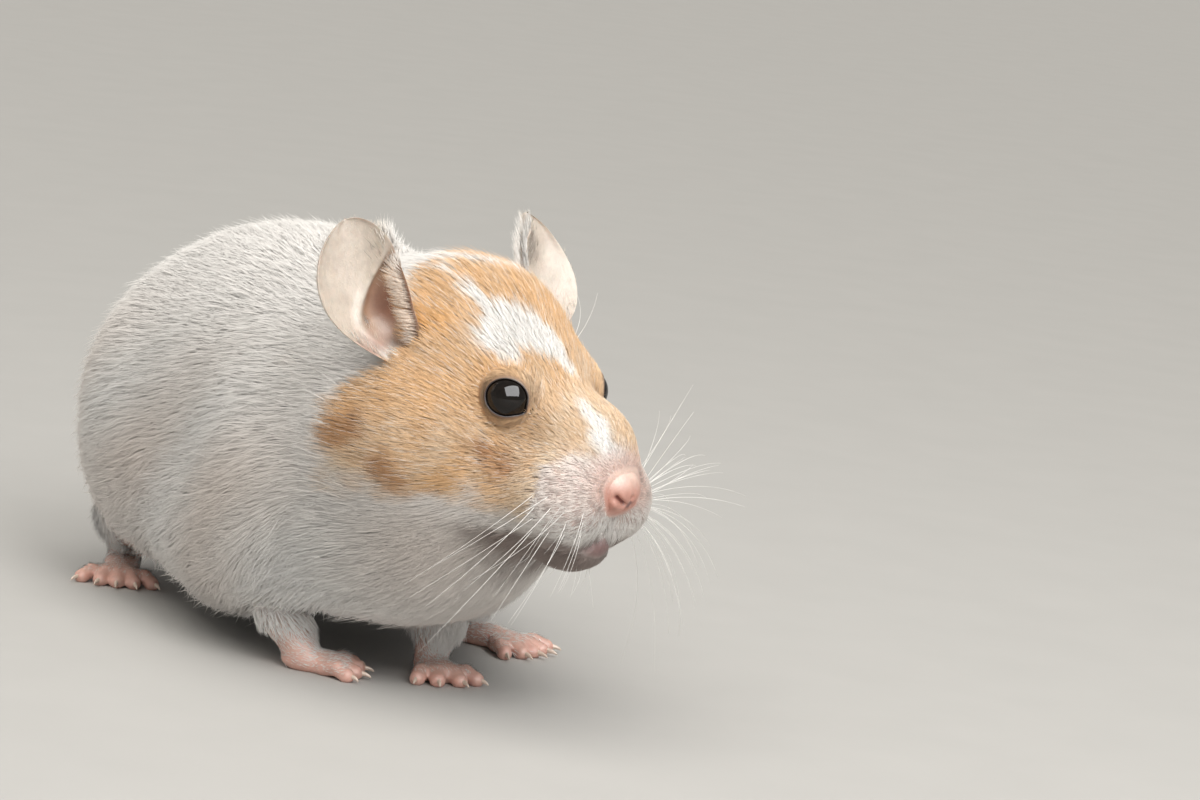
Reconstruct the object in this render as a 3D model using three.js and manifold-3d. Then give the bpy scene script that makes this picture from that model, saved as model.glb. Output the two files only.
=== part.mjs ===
// A Syrian hamster, life size, standing on four feet in mid step with its head turned to its left.
// Millimetres. The animal faces -Y, +X is its left side, +Z is up, and the floor is z = 0.
//
// The outline is the outer surface of the coat. Trunk, neck and head are one blended form: each
// lobe below is an ellipsoid, and the lobes melt into each other over a stated distance. Sections
// cut across a spine give the skin of that form, and thin gaps part it into the named pieces.

import * as THREE from 'three';
import { LoftGeometry } from 'three/addons/geometries/LoftGeometry.js';
import { mergeVertices } from 'three/addons/utils/BufferGeometryUtils.js';
import Module from 'manifold-3d';

const wasm = await Module();
wasm.setup();

// ---- Driving dimensions ----

const GAP = 0.3; // left between pieces that touch
const SECTION_SIDES = 28;
const TRUNK_SECTIONS = 13;
const HEAD_SECTIONS = 18;
const HEAD_LENGTH = 39; // along the spine, where sections stand closer
const TURN_SHARES = [0.38, 0.82]; // of the spine, where sections turn from the trunk to the head
const END_INSET = 0.35; // how far under the surface the spine ends
const SPINE_RISE = 58; // highest point of the back over the floor
const BELLY_CLEARANCE = 3.4; // height of the belly's coat over the floor
const CHEST_CLEARANCE = 8;
const SHOULDER_HALF_WIDTH = 23.5;
const FLANK_HALF_WIDTH = 28.5;
const HAUNCH_HALF_WIDTH = 31;
const RUMP_END = 78; // how far the rump reaches behind the forefeet

const HEAD_AT = new THREE.Vector3(8.7, -13.9, 40.9); // middle of the skull, level with the eyes
const HEAD_TURN = 34.5; // degrees to the animal's left
const HEAD_ENDS = [-21, 0, 20]; // a point of the cut behind the ears
const NECK_ENDS = [-31, 0, 20]; // and of the cut behind the neck
const NECK_LEAN = 33; // degrees that both cuts lean back from upright
const EYE_AT = [6.8, 8.8, 3.5]; // forward, sideways and up from the middle of the skull
const EYE_RADIUS = 3.1;
const NOSE_AT = [20.3, 0, -6.8];
const NOSE_SIZE = [2.5, 3.4, 3.0];

const EAR_BASE = [-9, 12.8, 7];
const EAR_TIP = [-15, 20, 23.8];
const EAR_HALF_WIDTH = 6.7;
const EAR_SWEEP = 1.6; // how far the middle of the ear bows outwards
const EAR_THICKNESS = 0.9;
const EAR_WIDEST = 0.58; // share of its height
const EAR_FRONT = 0.8; // width in front of its middle, as a share of the width behind it
const EAR_ROOT = 0.42; // width at the root, as a share of the widest
const EAR_CUP = [0.9, 0.3]; // depth of the cup over half its width, at the root and at the tip
const EAR_OPENS = { left: 0, right: 30 }; // degrees from straight ahead out to its own side

const TAIL_LENGTH = 9;
const TAIL_START = RUMP_END - 6; // inside the rump
const CLAW_RADIUS = 0.45;
const SOLE_DIP = 0.45; // how far each pad is pressed flat by the floor

// Lobes of the trunk: centre [left, back, up] and half sizes [across, along, up].
const BLEND_TRUNK = 3.2;
const TRUNK_LOBES = {
  chest: { at: [1, 2, 28.5], size: [20, 19, CHEST_CLEARANCE + 12] },
  withers: { at: [0, 16, 33], size: [SHOULDER_HALF_WIDTH - 2, 24, 22] },
  barrel: { at: [-1, 36, 31.5], size: [FLANK_HALF_WIDTH - 3, 28, SPINE_RISE - 32.5] },
  rump: { at: [-2, 54, 31], size: [26.5, RUMP_END - 56, 24] },
  haunchRight: { at: [-18.5, 52, 24], size: [HAUNCH_HALF_WIDTH - 17.5, 20, 19] },
  haunchLeft: { at: [16.5, 44, 23], size: [HAUNCH_HALF_WIDTH - 17.5, 19, 17] },
  flankRight: { at: [-14, 28, BELLY_CLEARANCE + 13], size: [12, 23, 14] },
  flankLeft: { at: [14, 24, BELLY_CLEARANCE + 15], size: [11, 20, 14] },
  shoulderRight: { at: [-13, 9, 24], size: [10.5, 14, 16] },
  shoulderLeft: { at: [13, 8, 25], size: [10.5, 13, 15] },
  nape: { at: [3, 1, 43], size: [15, 15, 12.5] },
  throat: { at: [5, -7, 28], size: [14, 11, 14] },
};

// Lobes of the head: centre [forward, sideways, up] from the middle of the skull, and half sizes.
// Lobes off the middle line are made on both sides.
const BLEND_HEAD = 1.5;
const HEAD_LOBES = {
  cranium: { at: [-7, 0, 6], size: [13.5, 13.2, 13.3] },
  forehead: { at: [1.5, 0, 3], size: [9.5, 7.6, 8.8] },
  cheek: { at: [-7, 8.5, -4.5], size: [12.5, 11, 12] },
  jaw: { at: [4, 4, -9.5], size: [9, 7, 6.5] },
  orbit: { at: [4.3, 7, 4.4], size: [5, 2.8, 3.8] },
  bridge: { at: [10.5, 0, -0.7], size: [10, 5.4, 5.5] },
  snout: { at: [15.8, 0, -5.2], size: [5.8, 5.6, 5.4] },
  whiskerPad: { at: [14.8, 5.6, -9.4], size: [6.1, 5.3, 5.7] },
  chin: { at: [13.8, 0, -15.2], size: [4.6, 3.8, 3.6] },
};
const BLEND_NECK = 4;

// ---- Small helpers ----

const radians = THREE.MathUtils.degToRad;

function vector(list) {
  return new THREE.Vector3(...list);
}

// Where the point [forward, sideways, up] of the head lies on the animal.
const headForward = new THREE.Vector3(Math.sin(radians(HEAD_TURN)), -Math.cos(radians(HEAD_TURN)), 0);
const headLeft = new THREE.Vector3(Math.cos(radians(HEAD_TURN)), Math.sin(radians(HEAD_TURN)), 0);
const upward = new THREE.Vector3(0, 0, 1);

function onHead([forward, sideways, up]) {
  return HEAD_AT.clone()
    .addScaledVector(headForward, forward)
    .addScaledVector(headLeft, sideways)
    .addScaledVector(upward, up);
}

function toHead(point) {
  const away = point.clone().sub(HEAD_AT);
  return new THREE.Vector3(away.dot(headForward), away.dot(headLeft), away.z);
}

// ---- The blended form ----

// Near distance from a point to an ellipsoid: below zero inside.
function lobeDistance(point, { at, size }) {
  const x = (point.x - at[0]) / size[0];
  const y = (point.y - at[1]) / size[1];
  const z = (point.z - at[2]) / size[2];
  const reach = Math.hypot(x, y, z);
  const steepness = Math.hypot(x / size[0], y / size[1], z / size[2]);
  return steepness === 0 ? -Math.min(...size) : (reach * (reach - 1)) / steepness;
}

// Distances melted into one: a sum of fading exponentials, so near lobes fill the crease.
function melt(distances, blend) {
  const nearest = Math.min(...distances);
  const sum = distances.reduce((total, d) => total + Math.exp((nearest - d) / blend), 0);
  return nearest - blend * Math.log(sum);
}

function onBothSides(lobe) {
  const [forward, sideways, up] = lobe.at;
  return sideways === 0 ? [lobe] : [lobe, { at: [forward, -sideways, up], size: lobe.size }];
}

const trunkLobes = Object.values(TRUNK_LOBES);
const headLobes = Object.values(HEAD_LOBES).flatMap(onBothSides);

function bodyDistance(point) {
  const local = toHead(point);
  const trunk = melt(trunkLobes.map((lobe) => lobeDistance(point, lobe)), BLEND_TRUNK);
  const head = melt(headLobes.map((lobe) => lobeDistance(local, lobe)), BLEND_HEAD);
  return melt([trunk, head], BLEND_NECK);
}

// How far the form reaches from a point inside it in one direction: steps out, then halvings.
function reachOf(centre, direction) {
  const step = 0.8;
  const longest = 60;
  const halvings = 12;
  const probe = (distance) => bodyDistance(centre.clone().addScaledVector(direction, distance));
  let far = step;
  while (probe(far) < 0 && far < longest) far += step;
  let near = far - step;
  for (let i = 0; i < halvings; i++) {
    const middle = (near + far) / 2;
    if (probe(middle) < 0) near = middle;
    else far = middle;
  }
  return near;
}

// ---- Spine and sections ----

// The point just under the surface that lies straight out from a point inside.
function justInside(centre, direction) {
  return centre.clone().addScaledVector(direction, reachOf(centre, direction) - END_INSET);
}

const spine = new THREE.CatmullRomCurve3([
  justInside(new THREE.Vector3(0, 60, 28), new THREE.Vector3(0, 1, 0)),
  new THREE.Vector3(0, 60, 29),
  new THREE.Vector3(0, 40, 32),
  new THREE.Vector3(0.5, 20, 33.5),
  new THREE.Vector3(2.5, 4, 36.5),
  onHead([-9, 0, -0.5]),
  onHead([0, 0, -0.5]),
  onHead([9, 0, -3.5]),
  onHead([15, 0, -6.5]),
  justInside(onHead([15, 0, -6.5]), headForward),
], false, 'centripetal');

// Sections are rings wound so that lofts face outwards. Their planes turn slowly from the trunk's
// axis to the head's, so that they don't cross on the inside of the bend.
function sectionAt(share) {
  const centre = spine.getPointAt(share);
  const turned = THREE.MathUtils.smoothstep(share, ...TURN_SHARES);
  const along = new THREE.Vector3(0, -1, 0).lerp(headForward, turned).normalize();
  const side = new THREE.Vector3().crossVectors(along, upward).normalize();
  const top = new THREE.Vector3().crossVectors(side, along);
  return Array.from({ length: SECTION_SIDES }, (_, i) => {
    const angle = (i / SECTION_SIDES) * 2 * Math.PI;
    const direction = side.clone().multiplyScalar(Math.sin(angle)).addScaledVector(top, Math.cos(angle));
    return centre.clone().addScaledVector(direction, reachOf(centre, direction));
  });
}

const closeAtStart = (t) => 1 - Math.cos((t * Math.PI) / 2); // rings crowd where the form closes
const closeAtEnd = (t) => Math.sin((t * Math.PI) / 2);

function wholeBody() {
  const headStarts = 1 - HEAD_LENGTH / spine.getLength();
  const shares = [];
  for (let i = 0; i < TRUNK_SECTIONS; i++) shares.push(headStarts * closeAtStart(i / TRUNK_SECTIONS));
  for (let i = 0; i <= HEAD_SECTIONS; i++) {
    shares.push(headStarts + (1 - headStarts) * closeAtEnd(i / HEAD_SECTIONS));
  }
  return new LoftGeometry(shares.map(sectionAt), { capStart: true, capEnd: true });
}

// ---- Solids ----

function solid(geometry) {
  const bare = new THREE.BufferGeometry();
  bare.setAttribute('position', geometry.getAttribute('position'));
  bare.setIndex(geometry.index);
  const merged = mergeVertices(bare, 1e-4);
  const triVerts = new Uint32Array(merged.index.array);
  return new wasm.Manifold(
    new wasm.Mesh({ numProp: 3, vertProperties: merged.attributes.position.array, triVerts }),
  );
}

function geometryOf(manifold) {
  const mesh = manifold.getMesh();
  const geometry = new THREE.BufferGeometry();
  geometry.setAttribute('position', new THREE.BufferAttribute(mesh.vertProperties, 3));
  geometry.setIndex(new THREE.BufferAttribute(mesh.triVerts, 1));
  geometry.computeVertexNormals();
  return geometry;
}

function join(solids) {
  return solids.reduce((whole, next) => whole.add(next));
}

// All of space on the side of a plane that the normal points to.
function halfSpace(point, normal) {
  const extent = 400;
  const block = new THREE.BoxGeometry(extent, extent, extent);
  block.translate(0, 0, extent / 2);
  block.applyQuaternion(new THREE.Quaternion().setFromUnitVectors(upward, normal));
  block.translate(point.x, point.y, point.z);
  return solid(block);
}

// Parts a solid at a plane: [what lies behind it, what lies in front], with the gap between.
function partAt(form, point, normal) {
  const half = normal.clone().multiplyScalar(GAP / 2);
  const behind = form.subtract(halfSpace(point.clone().sub(half), normal));
  const front = form.intersect(halfSpace(point.clone().add(half), normal));
  return [behind, front];
}

// A round tube along a smooth path. Each stop is { at, size: [across, high] }; grow widens it all.
function tube(stops, { rings = 9, sides = 12, grow = 0, crown = upward } = {}) {
  const path = new THREE.CatmullRomCurve3(stops.map((stop) => vector(stop.at)), false, 'centripetal');
  const sizes = new THREE.SplineCurve(stops.map((stop) => new THREE.Vector2(...stop.size)));
  const sections = Array.from({ length: rings }, (_, i) => {
    const t = i / (rings - 1);
    const centre = path.getPoint(t);
    const along = path.getTangent(t);
    const size = sizes.getPoint(t);
    const side = new THREE.Vector3().crossVectors(along, crown).normalize();
    const top = new THREE.Vector3().crossVectors(side, along);
    return Array.from({ length: sides }, (_, j) => {
      const angle = (j / sides) * 2 * Math.PI;
      return centre.clone()
        .addScaledVector(side, Math.sin(angle) * (size.x + grow))
        .addScaledVector(top, Math.cos(angle) * (size.y + grow));
    });
  });
  return solid(new LoftGeometry(sections, { capStart: true, capEnd: true }));
}

function ball(at, size, { grow = 0, turn = 0, around = 12, down = 8 } = {}) {
  const sphere = new THREE.SphereGeometry(1, around, down);
  sphere.rotateX(Math.PI / 2);
  sphere.scale(size[0] + grow, size[1] + grow, size[2] + grow);
  sphere.rotateZ(turn);
  sphere.translate(...at);
  return solid(sphere);
}

// ---- Eyes and nose ----

function eye(side, grow = 0) {
  const at = onHead([EYE_AT[0], side * EYE_AT[1], EYE_AT[2]]);
  return ball(at, [EYE_RADIUS, EYE_RADIUS, EYE_RADIUS], { grow });
}

function nose(grow = 0) {
  const [forward, sideways, up] = NOSE_SIZE;
  return ball(onHead(NOSE_AT), [sideways, forward, up], { grow, turn: radians(HEAD_TURN) });
}

// ---- Ears ----

// A cupped, rounded sheet. Its edge runs out to a half width that swells and closes again towards
// the tip, and each cross section is a bow whose ends stand forward, deepest at the foot of the ear.
function ear(side, grow = 0) {
  const mirrored = ([forward, sideways, up]) => onHead([forward, side * sideways, up]);
  const foot = mirrored(EAR_BASE);
  const rise = mirrored(EAR_TIP).sub(foot);
  const height = rise.length();
  const along = rise.clone().normalize();
  const turn = radians(side > 0 ? EAR_OPENS.left : EAR_OPENS.right);
  const opening = headForward.clone().multiplyScalar(Math.cos(turn))
    .addScaledVector(headLeft, side * Math.sin(turn));
  opening.addScaledVector(along, -opening.dot(along)).normalize();
  const across = new THREE.Vector3().crossVectors(along, opening);
  const rings = 10;
  const steps = 8;
  const sections = Array.from({ length: rings }, (_, i) => {
    const t = closeAtEnd(i / (rings - 1));
    const swell = t < EAR_WIDEST
      ? EAR_ROOT + (1 - EAR_ROOT) * Math.sin((t / EAR_WIDEST) * (Math.PI / 2))
      : Math.sqrt(Math.max(0.02, 1 - ((t - EAR_WIDEST) / (1 - EAR_WIDEST)) ** 2));
    const width = EAR_HALF_WIDTH * swell + grow;
    const bow = EAR_CUP[0] + (EAR_CUP[1] - EAR_CUP[0]) * t;
    const bowed = (share, depth) => foot.clone()
      .addScaledVector(along, t * (height + 2 * grow) - grow)
      .addScaledVector(across, share * width * (share * side < 0 ? EAR_FRONT : 1))
      .addScaledVector(across, side * EAR_SWEEP * Math.sin(t * Math.PI))
      .addScaledVector(opening, bow * width * share ** 2 + depth);
    const share = (j) => -1 + (2 * j) / steps;
    const half = EAR_THICKNESS / 2 + 2.2 * grow;
    const front = Array.from({ length: steps + 1 }, (_, j) => bowed(share(j), half));
    const back = Array.from({ length: steps + 1 }, (_, j) => bowed(-share(j), -half));
    return [...front, ...back];
  });
  return solid(new LoftGeometry(sections, { capStart: true, capEnd: true }));
}

// ---- Tail ----

function tail(grow = 0) {
  const root = [0, TAIL_START, 22];
  const middle = [0.3, TAIL_START + TAIL_LENGTH / 2, 20.5];
  const tip = [1, TAIL_START + TAIL_LENGTH, 17.5];
  return tube([
    { at: root, size: [4, 4] },
    { at: middle, size: [2.8, 2.8] },
    { at: tip, size: [1.1, 1.1] },
  ], { rings: 6, sides: 10, grow });
}

// ---- Feet ----

// A foot stands at its heel and points along its heading. Toes fan out from the front of the sole
// and each thins into its claw, and every pad dips a little below the floor, where it is pressed flat.
const FORE_FOOT = {
  sole: 5.2, halfWidth: 2.9, high: 1.9, toes: [-34, -12, 12, 35], toeLength: 4.4, toeRadius: 1.15,
};
const HIND_FOOT = {
  sole: 11.5, halfWidth: 3.2, high: 2.1, toes: [-36, -15, 1, 17, 37], toeLength: 4.8, toeRadius: 1.1,
};

function foot(kind, heel, heading) {
  const facing = radians(heading);
  const place = (forward, sideways, up) => [
    heel[0] + forward * Math.sin(facing) + sideways * Math.cos(facing),
    heel[1] - forward * Math.cos(facing) + sideways * Math.sin(facing),
    up - SOLE_DIP,
  ];
  const sole = tube([
    { at: place(-2, 0, kind.high), size: [kind.halfWidth * 0.35, kind.high * 0.5] },
    { at: place(-1, 0, kind.high), size: [kind.halfWidth * 0.72, kind.high] },
    { at: place(kind.sole * 0.5, 0, kind.high), size: [kind.halfWidth * 0.9, kind.high] },
    { at: place(kind.sole, 0, kind.high * 0.85), size: [kind.halfWidth, kind.high * 0.85] },
    { at: place(kind.sole + 1.6, 0, kind.high * 0.6), size: [kind.halfWidth * 0.6, kind.high * 0.5] },
  ], { rings: 5, sides: 8 });
  const toes = kind.toes.map((fan) => {
    const turn = radians(fan);
    const radius = kind.toeRadius;
    const startSide = kind.halfWidth * 0.72 * (fan / 30);
    const reach = kind.toeLength * Math.cos(turn * 0.8);
    const out = (share, up) => place(
      kind.sole - 0.9 + reach * share * Math.cos(turn),
      startSide + reach * share * Math.sin(turn),
      up,
    );
    return tube([
      { at: out(-0.1, radius * 1.1), size: [radius * 0.9, radius * 0.9] },
      { at: out(0.4, radius * 1.3), size: [radius * 0.82, radius * 0.85] },
      { at: out(0.85, radius), size: [radius, radius] },
      { at: out(1.06, radius * 1.15), size: [CLAW_RADIUS * 1.2, CLAW_RADIUS * 1.2] },
      { at: out(1.28, radius * 1.15), size: [CLAW_RADIUS, CLAW_RADIUS] },
      { at: out(1.5, radius * 0.7), size: [CLAW_RADIUS * 0.6, CLAW_RADIUS * 0.6] },
    ], { rings: 7, sides: 5 });
  });
  return join([sole, ...toes]);
}

// ---- Legs ----

const FORE_ANKLE = 4.6; // heights at which a leg is parted from its foot
const HIND_ANKLE = 5.4;

const LEGS = {
  foreleg_right: {
    kind: FORE_FOOT, heel: [-10.6, 3.4], heading: 68, ankle: FORE_ANKLE, foot: 'forefoot_right',
    shaft: [
      { at: [-14, 11, 22], size: [8, 9] },
      { at: [-14.6, 10, 13], size: [6.8, 7.2] },
      { at: [-12.6, 6.4, 6.5], size: [4.6, 4.8] },
      { at: [-10.2, 3.4, 2.4], size: [3, 2.8] },
    ],
  },
  foreleg_left: {
    kind: FORE_FOOT, heel: [8.6, 4.6], heading: 4, ankle: FORE_ANKLE, foot: 'forefoot_left',
    shaft: [
      { at: [13.5, 9.5, 22], size: [8, 9] },
      { at: [12, 9, 13.5], size: [6.2, 7] },
      { at: [9.8, 6, 7], size: [4.4, 4.6] },
      { at: [8.7, 4, 2.4], size: [3, 2.8] },
    ],
  },
  hindleg_right: {
    kind: HIND_FOOT, heel: [-20.8, 64.5], heading: -18, ankle: HIND_ANKLE, foot: 'hindfoot_right',
    thigh: { at: [-25, 52, 22], size: [15, 18, 17] },
    shaft: [
      { at: [-21, 56, 17], size: [8, 9] },
      { at: [-21.4, 60, 10], size: [5.4, 6] },
      { at: [-21.3, 62.4, 5.5], size: [3.4, 3.8] },
      { at: [-21.3, 62.8, 2.2], size: [2.6, 2.8] },
    ],
  },
  hindleg_left: {
    kind: HIND_FOOT, heel: [19.6, 29.4], heading: 36, ankle: HIND_ANKLE, foot: 'hindfoot_left',
    thigh: { at: [24, 44, 21], size: [15, 18, 16] },
    shaft: [
      { at: [19.5, 34, 17], size: [8, 9] },
      { at: [20.5, 30, 10], size: [5.4, 6] },
      { at: [21.2, 27.4, 5.5], size: [3.4, 3.8] },
      { at: [21.6, 26.8, 2.2], size: [2.6, 2.8] },
    ],
  },
};

function shaft(leg, grow = 0) {
  return tube(leg.shaft, { rings: 6, sides: 10, grow, crown: new THREE.Vector3(0, 1, 0) });
}

function thighSpace(leg, grow = 0) {
  return ball(leg.thigh.at, leg.thigh.size, { grow, around: 12, down: 8 });
}

// ---- The animal put together ----

const COAT_WHITE = { color: 0xe9e3da, roughness: 0.9, metalness: 0 };
const COAT_TAN = { color: 0xd9ab7c, roughness: 0.9, metalness: 0 };
const BARE_SKIN = { color: 0xdba394, roughness: 0.6, metalness: 0 };
const WET_BLACK = { color: 0x0a0807, roughness: 0.05, metalness: 0 };

const animal = new THREE.Group();

function piece(name, manifold, finish) {
  const mesh = new THREE.Mesh(geometryOf(manifold), new THREE.MeshStandardMaterial(finish));
  mesh.name = name;
  animal.add(mesh);
}

// Cuts at the neck run from behind the ears down and forward to the throat.
const neckLean = radians(NECK_LEAN);
const cutFaces = headForward.clone().multiplyScalar(Math.cos(neckLean))
  .addScaledVector(upward, Math.sin(neckLean));
const [behindHead, headForm] = partAt(solid(wholeBody()), onHead(HEAD_ENDS), cutFaces);
const [trunkForm, neckForm] = partAt(behindHead, onHead(NECK_ENDS), cutFaces);
const legs = Object.entries(LEGS);
const pockets = legs.map(([, leg]) => shaft(leg, GAP));
const thighPockets = legs.filter(([, leg]) => leg.thigh).map(([, leg]) => thighSpace(leg, GAP));
const cutAway = (form, spaces) => spaces.reduce((rest, space) => rest.subtract(space), form);

piece('trunk', cutAway(trunkForm, [...pockets, ...thighPockets, tail(GAP)]), COAT_WHITE);
piece('neck', cutAway(neckForm, pockets), COAT_WHITE);
piece('head', cutAway(headForm, [
  ...pockets, eye(1, GAP), eye(-1, GAP), ear(1, GAP), ear(-1, GAP), nose(GAP),
]), COAT_TAN);
piece('tail', tail(), COAT_WHITE);
piece('nose', nose(), BARE_SKIN);
for (const [side, word] of [[1, 'left'], [-1, 'right']]) {
  piece(`eye_${word}`, eye(side), WET_BLACK);
  piece(`ear_${word}`, ear(side), BARE_SKIN);
}

const floor = halfSpace(new THREE.Vector3(), new THREE.Vector3(0, 0, -1));
for (const [name, leg] of legs) {
  const thigh = leg.thigh ? [trunkForm.intersect(thighSpace(leg))] : [];
  const limb = join([shaft(leg), ...thigh, foot(leg.kind, leg.heel, leg.heading)]);
  const [paw, upper] = partAt(limb, new THREE.Vector3(0, 0, leg.ankle), upward);
  piece(name, upper, COAT_WHITE);
  piece(leg.foot, paw.subtract(floor), BARE_SKIN);
}

// The origin is the middle of the animal's footprint box, on the floor.
const box = new THREE.Box3().setFromObject(animal);
animal.position.set(-(box.min.x + box.max.x) / 2, -(box.min.y + box.max.y) / 2, -box.min.z);

export default animal;
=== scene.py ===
"""A Syrian hamster, life size, standing in mid step with its head turned to its left.

Everything is worked out in millimetres in the animal's own frame: it faces -Y, +X is its left side,
+Z is up and the floor is z = 0. put_mesh() turns that into metres and adds the small shift that the
solids have.

The outer form of the coat is a melted sum of ellipsoid lobes, the same as in the solids. The skin is
that form taken in by the depth of the coat, with ears, legs, lids and nose joined to it. The coat is
made of thin closed tufts, each rooted in the skin and laid back until its tip meets the outer form.
"""

import math

import bpy
import numpy as np
import openvdb
from mathutils import Matrix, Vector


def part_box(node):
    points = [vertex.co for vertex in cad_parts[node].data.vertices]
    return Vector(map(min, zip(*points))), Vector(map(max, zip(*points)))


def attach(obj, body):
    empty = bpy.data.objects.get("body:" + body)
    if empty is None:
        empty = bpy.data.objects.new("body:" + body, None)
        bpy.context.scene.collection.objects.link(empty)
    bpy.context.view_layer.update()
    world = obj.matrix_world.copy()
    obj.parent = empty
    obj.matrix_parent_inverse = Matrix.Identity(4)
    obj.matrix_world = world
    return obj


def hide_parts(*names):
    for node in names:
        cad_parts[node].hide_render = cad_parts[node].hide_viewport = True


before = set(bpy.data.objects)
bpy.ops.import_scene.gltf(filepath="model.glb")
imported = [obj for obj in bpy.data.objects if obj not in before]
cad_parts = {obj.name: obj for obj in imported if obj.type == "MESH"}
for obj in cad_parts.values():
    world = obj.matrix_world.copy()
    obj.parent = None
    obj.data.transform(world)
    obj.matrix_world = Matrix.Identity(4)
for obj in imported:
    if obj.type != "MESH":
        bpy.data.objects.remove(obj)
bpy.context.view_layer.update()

# ---- Sizes, in millimetres ----

METRES = 0.001
SEED = 20

HEAD_AT = np.array([8.7, -13.9, 40.9])  # middle of the skull, level with the eyes
HEAD_TURN = math.radians(34.5)
EYE_AT = np.array([6.8, 8.8, 3.5])  # forward, sideways and up from the middle of the skull
EYE_RADIUS = 3.0
NOSE_AT = np.array([20.3, 0.0, -6.8])
NOSE_SIZE = np.array([2.5, 3.4, 3.0])

BODY_COAT = 2.5  # depth of the coat from skin to tips
FACE_COAT = 0.9
MUZZLE_COAT = 0.35
LEG_COAT = 1.1

# Lobes of the trunk: centre (left, back, up) and half sizes (across, along, up).
TRUNK_BLEND = 3.2
TRUNK_LOBES = {
    "chest": ((1, 2, 28.5), (20, 19, 20)),
    "withers": ((0, 16, 33), (21.5, 24, 22)),
    "barrel": ((-1, 36, 31.5), (25.5, 28, 25.5)),
    "rump": ((-2, 54, 31), (26.5, 22, 24)),
    "haunch_right": ((-18.5, 52, 24), (13.5, 20, 19)),
    "haunch_left": ((16.5, 44, 23), (13.5, 19, 17)),
    "flank_right": ((-14, 28, 16.4), (12, 23, 14)),
    "flank_left": ((14, 24, 18.4), (11, 20, 14)),
    "shoulder_right": ((-13, 9, 24), (10.5, 14, 16)),
    "shoulder_left": ((13, 8, 25), (10.5, 13, 15)),
    "nape": ((3, 1, 43), (15, 15, 12.5)),
    "throat": ((5, -7, 28), (14, 11, 14)),
}

# Lobes of the head: centre (forward, sideways, up) from the middle of the skull, and half sizes.
# Lobes off the middle line are on both sides.
HEAD_BLEND = 1.5
HEAD_LOBES = {
    "cranium": ((-7, 0, 6), (13.5, 13.2, 13.3)),
    "forehead": ((1.5, 0, 3), (9.5, 7.6, 8.8)),
    "cheek": ((-7, 8.5, -4.5), (12.5, 11, 12)),
    "jaw": ((4, 4, -9.5), (9, 7, 6.5)),
    "orbit": ((4.3, 7, 4.4), (5, 2.8, 3.8)),
    "bridge": ((10.5, 0, -0.7), (10, 5.4, 5.5)),
    "snout": ((15.8, 0, -5.2), (5.8, 5.6, 5.4)),
    "whisker_pad": ((14.8, 5.6, -9.4), (6.1, 5.3, 5.7)),
    "chin": ((13.8, 0, -15.2), (4.6, 3.8, 3.6)),
}
NECK_BLEND = 4.0

UP = np.array([0.0, 0.0, 1.0])
HEAD_FORWARD = np.array([math.sin(HEAD_TURN), -math.cos(HEAD_TURN), 0.0])
HEAD_LEFT = np.array([math.cos(HEAD_TURN), math.sin(HEAD_TURN), 0.0])
HEAD_AXES = np.array([HEAD_FORWARD, HEAD_LEFT, UP])


# ---- Small helpers ----


def unit(vectors):
    """Vectors scaled to length one."""
    return vectors / np.maximum(np.linalg.norm(vectors, axis=-1, keepdims=True), 1e-9)


def on_head(places):
    """Points (forward, sideways, up) of the head as points of the animal."""
    return HEAD_AT + np.asarray(places, float) @ HEAD_AXES


def to_head(points):
    """Points of the animal as (forward, sideways, up) from the middle of the skull."""
    return (points - HEAD_AT) @ HEAD_AXES.T


def fade(values, start, end):
    """0 before start, 1 after end, and a smooth step between them."""
    t = np.clip((values - start) / (end - start), 0, 1)
    return t * t * (3 - 2 * t)


def mix(a, b, share):
    """a where share is 0 and b where it is 1."""
    return a + (b - a) * share


def tangent(vectors, normals):
    """The part of each vector that lies in the surface, at length one."""
    return unit(vectors - normals * (vectors * normals).sum(-1, keepdims=True))


def mirrored(places):
    """Places (forward, sideways, up) with those of the right side carried over to the left."""
    return places * [1, 0, 1] + np.abs(places) * [0, 1, 0]


def smooth_path(stops, shares):
    """Points on a curve through the stops, in cubic pieces whose slopes follow the neighbouring chords."""
    stops = np.asarray(stops, float)
    shares = np.asarray(shares, float)
    chords = np.linalg.norm(np.diff(stops[:, :3], axis=0), axis=1)
    knots = np.concatenate([[0], np.cumsum(chords)]) / chords.sum()
    slopes = np.gradient(stops, knots, axis=0)
    piece = np.clip(np.searchsorted(knots, shares, "right") - 1, 0, len(stops) - 2)
    width = (knots[piece + 1] - knots[piece])[..., None]
    t = (shares[..., None] - knots[piece][..., None]) / width
    return (
        stops[piece] * (1 + 2 * t) * (1 - t) ** 2
        + stops[piece + 1] * (3 - 2 * t) * t**2
        + slopes[piece] * width * t * (1 - t) ** 2
        + slopes[piece + 1] * width * (t - 1) * t**2
    )


def segment_distance(points, start, end, start_radius=0.0, end_radius=0.0):
    """Distance to a rounded bar whose radius runs evenly from one end to the other."""
    start, end = np.asarray(start, float), np.asarray(end, float)
    run = end - start
    share = np.clip((points - start) @ run / (run @ run), 0, 1)
    away = points - start - share[..., None] * run
    return np.linalg.norm(away, axis=-1) - mix(start_radius, end_radius, share)


WAVE_COUNT = 7


def plane_waves(points, wavelength, salt):
    """Phase of a few plane waves in random directions at each point, and each wave's direction."""
    random = np.random.default_rng(SEED * 1000 + salt)
    turns = unit(random.normal(size=(WAVE_COUNT, 3))) * (2 * math.pi / wavelength)
    turns *= random.uniform(0.6, 1.6, (WAVE_COUNT, 1))
    return points @ turns.T + random.uniform(0, 2 * math.pi, WAVE_COUNT), unit(turns)


def waves(points, wavelength, salt):
    """A smooth random field from about -1 to 1: a sum of plane waves in random directions."""
    phase = plane_waves(points, wavelength, salt)[0]
    return np.sin(phase).sum(-1) / math.sqrt(WAVE_COUNT / 2) / 1.7


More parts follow.
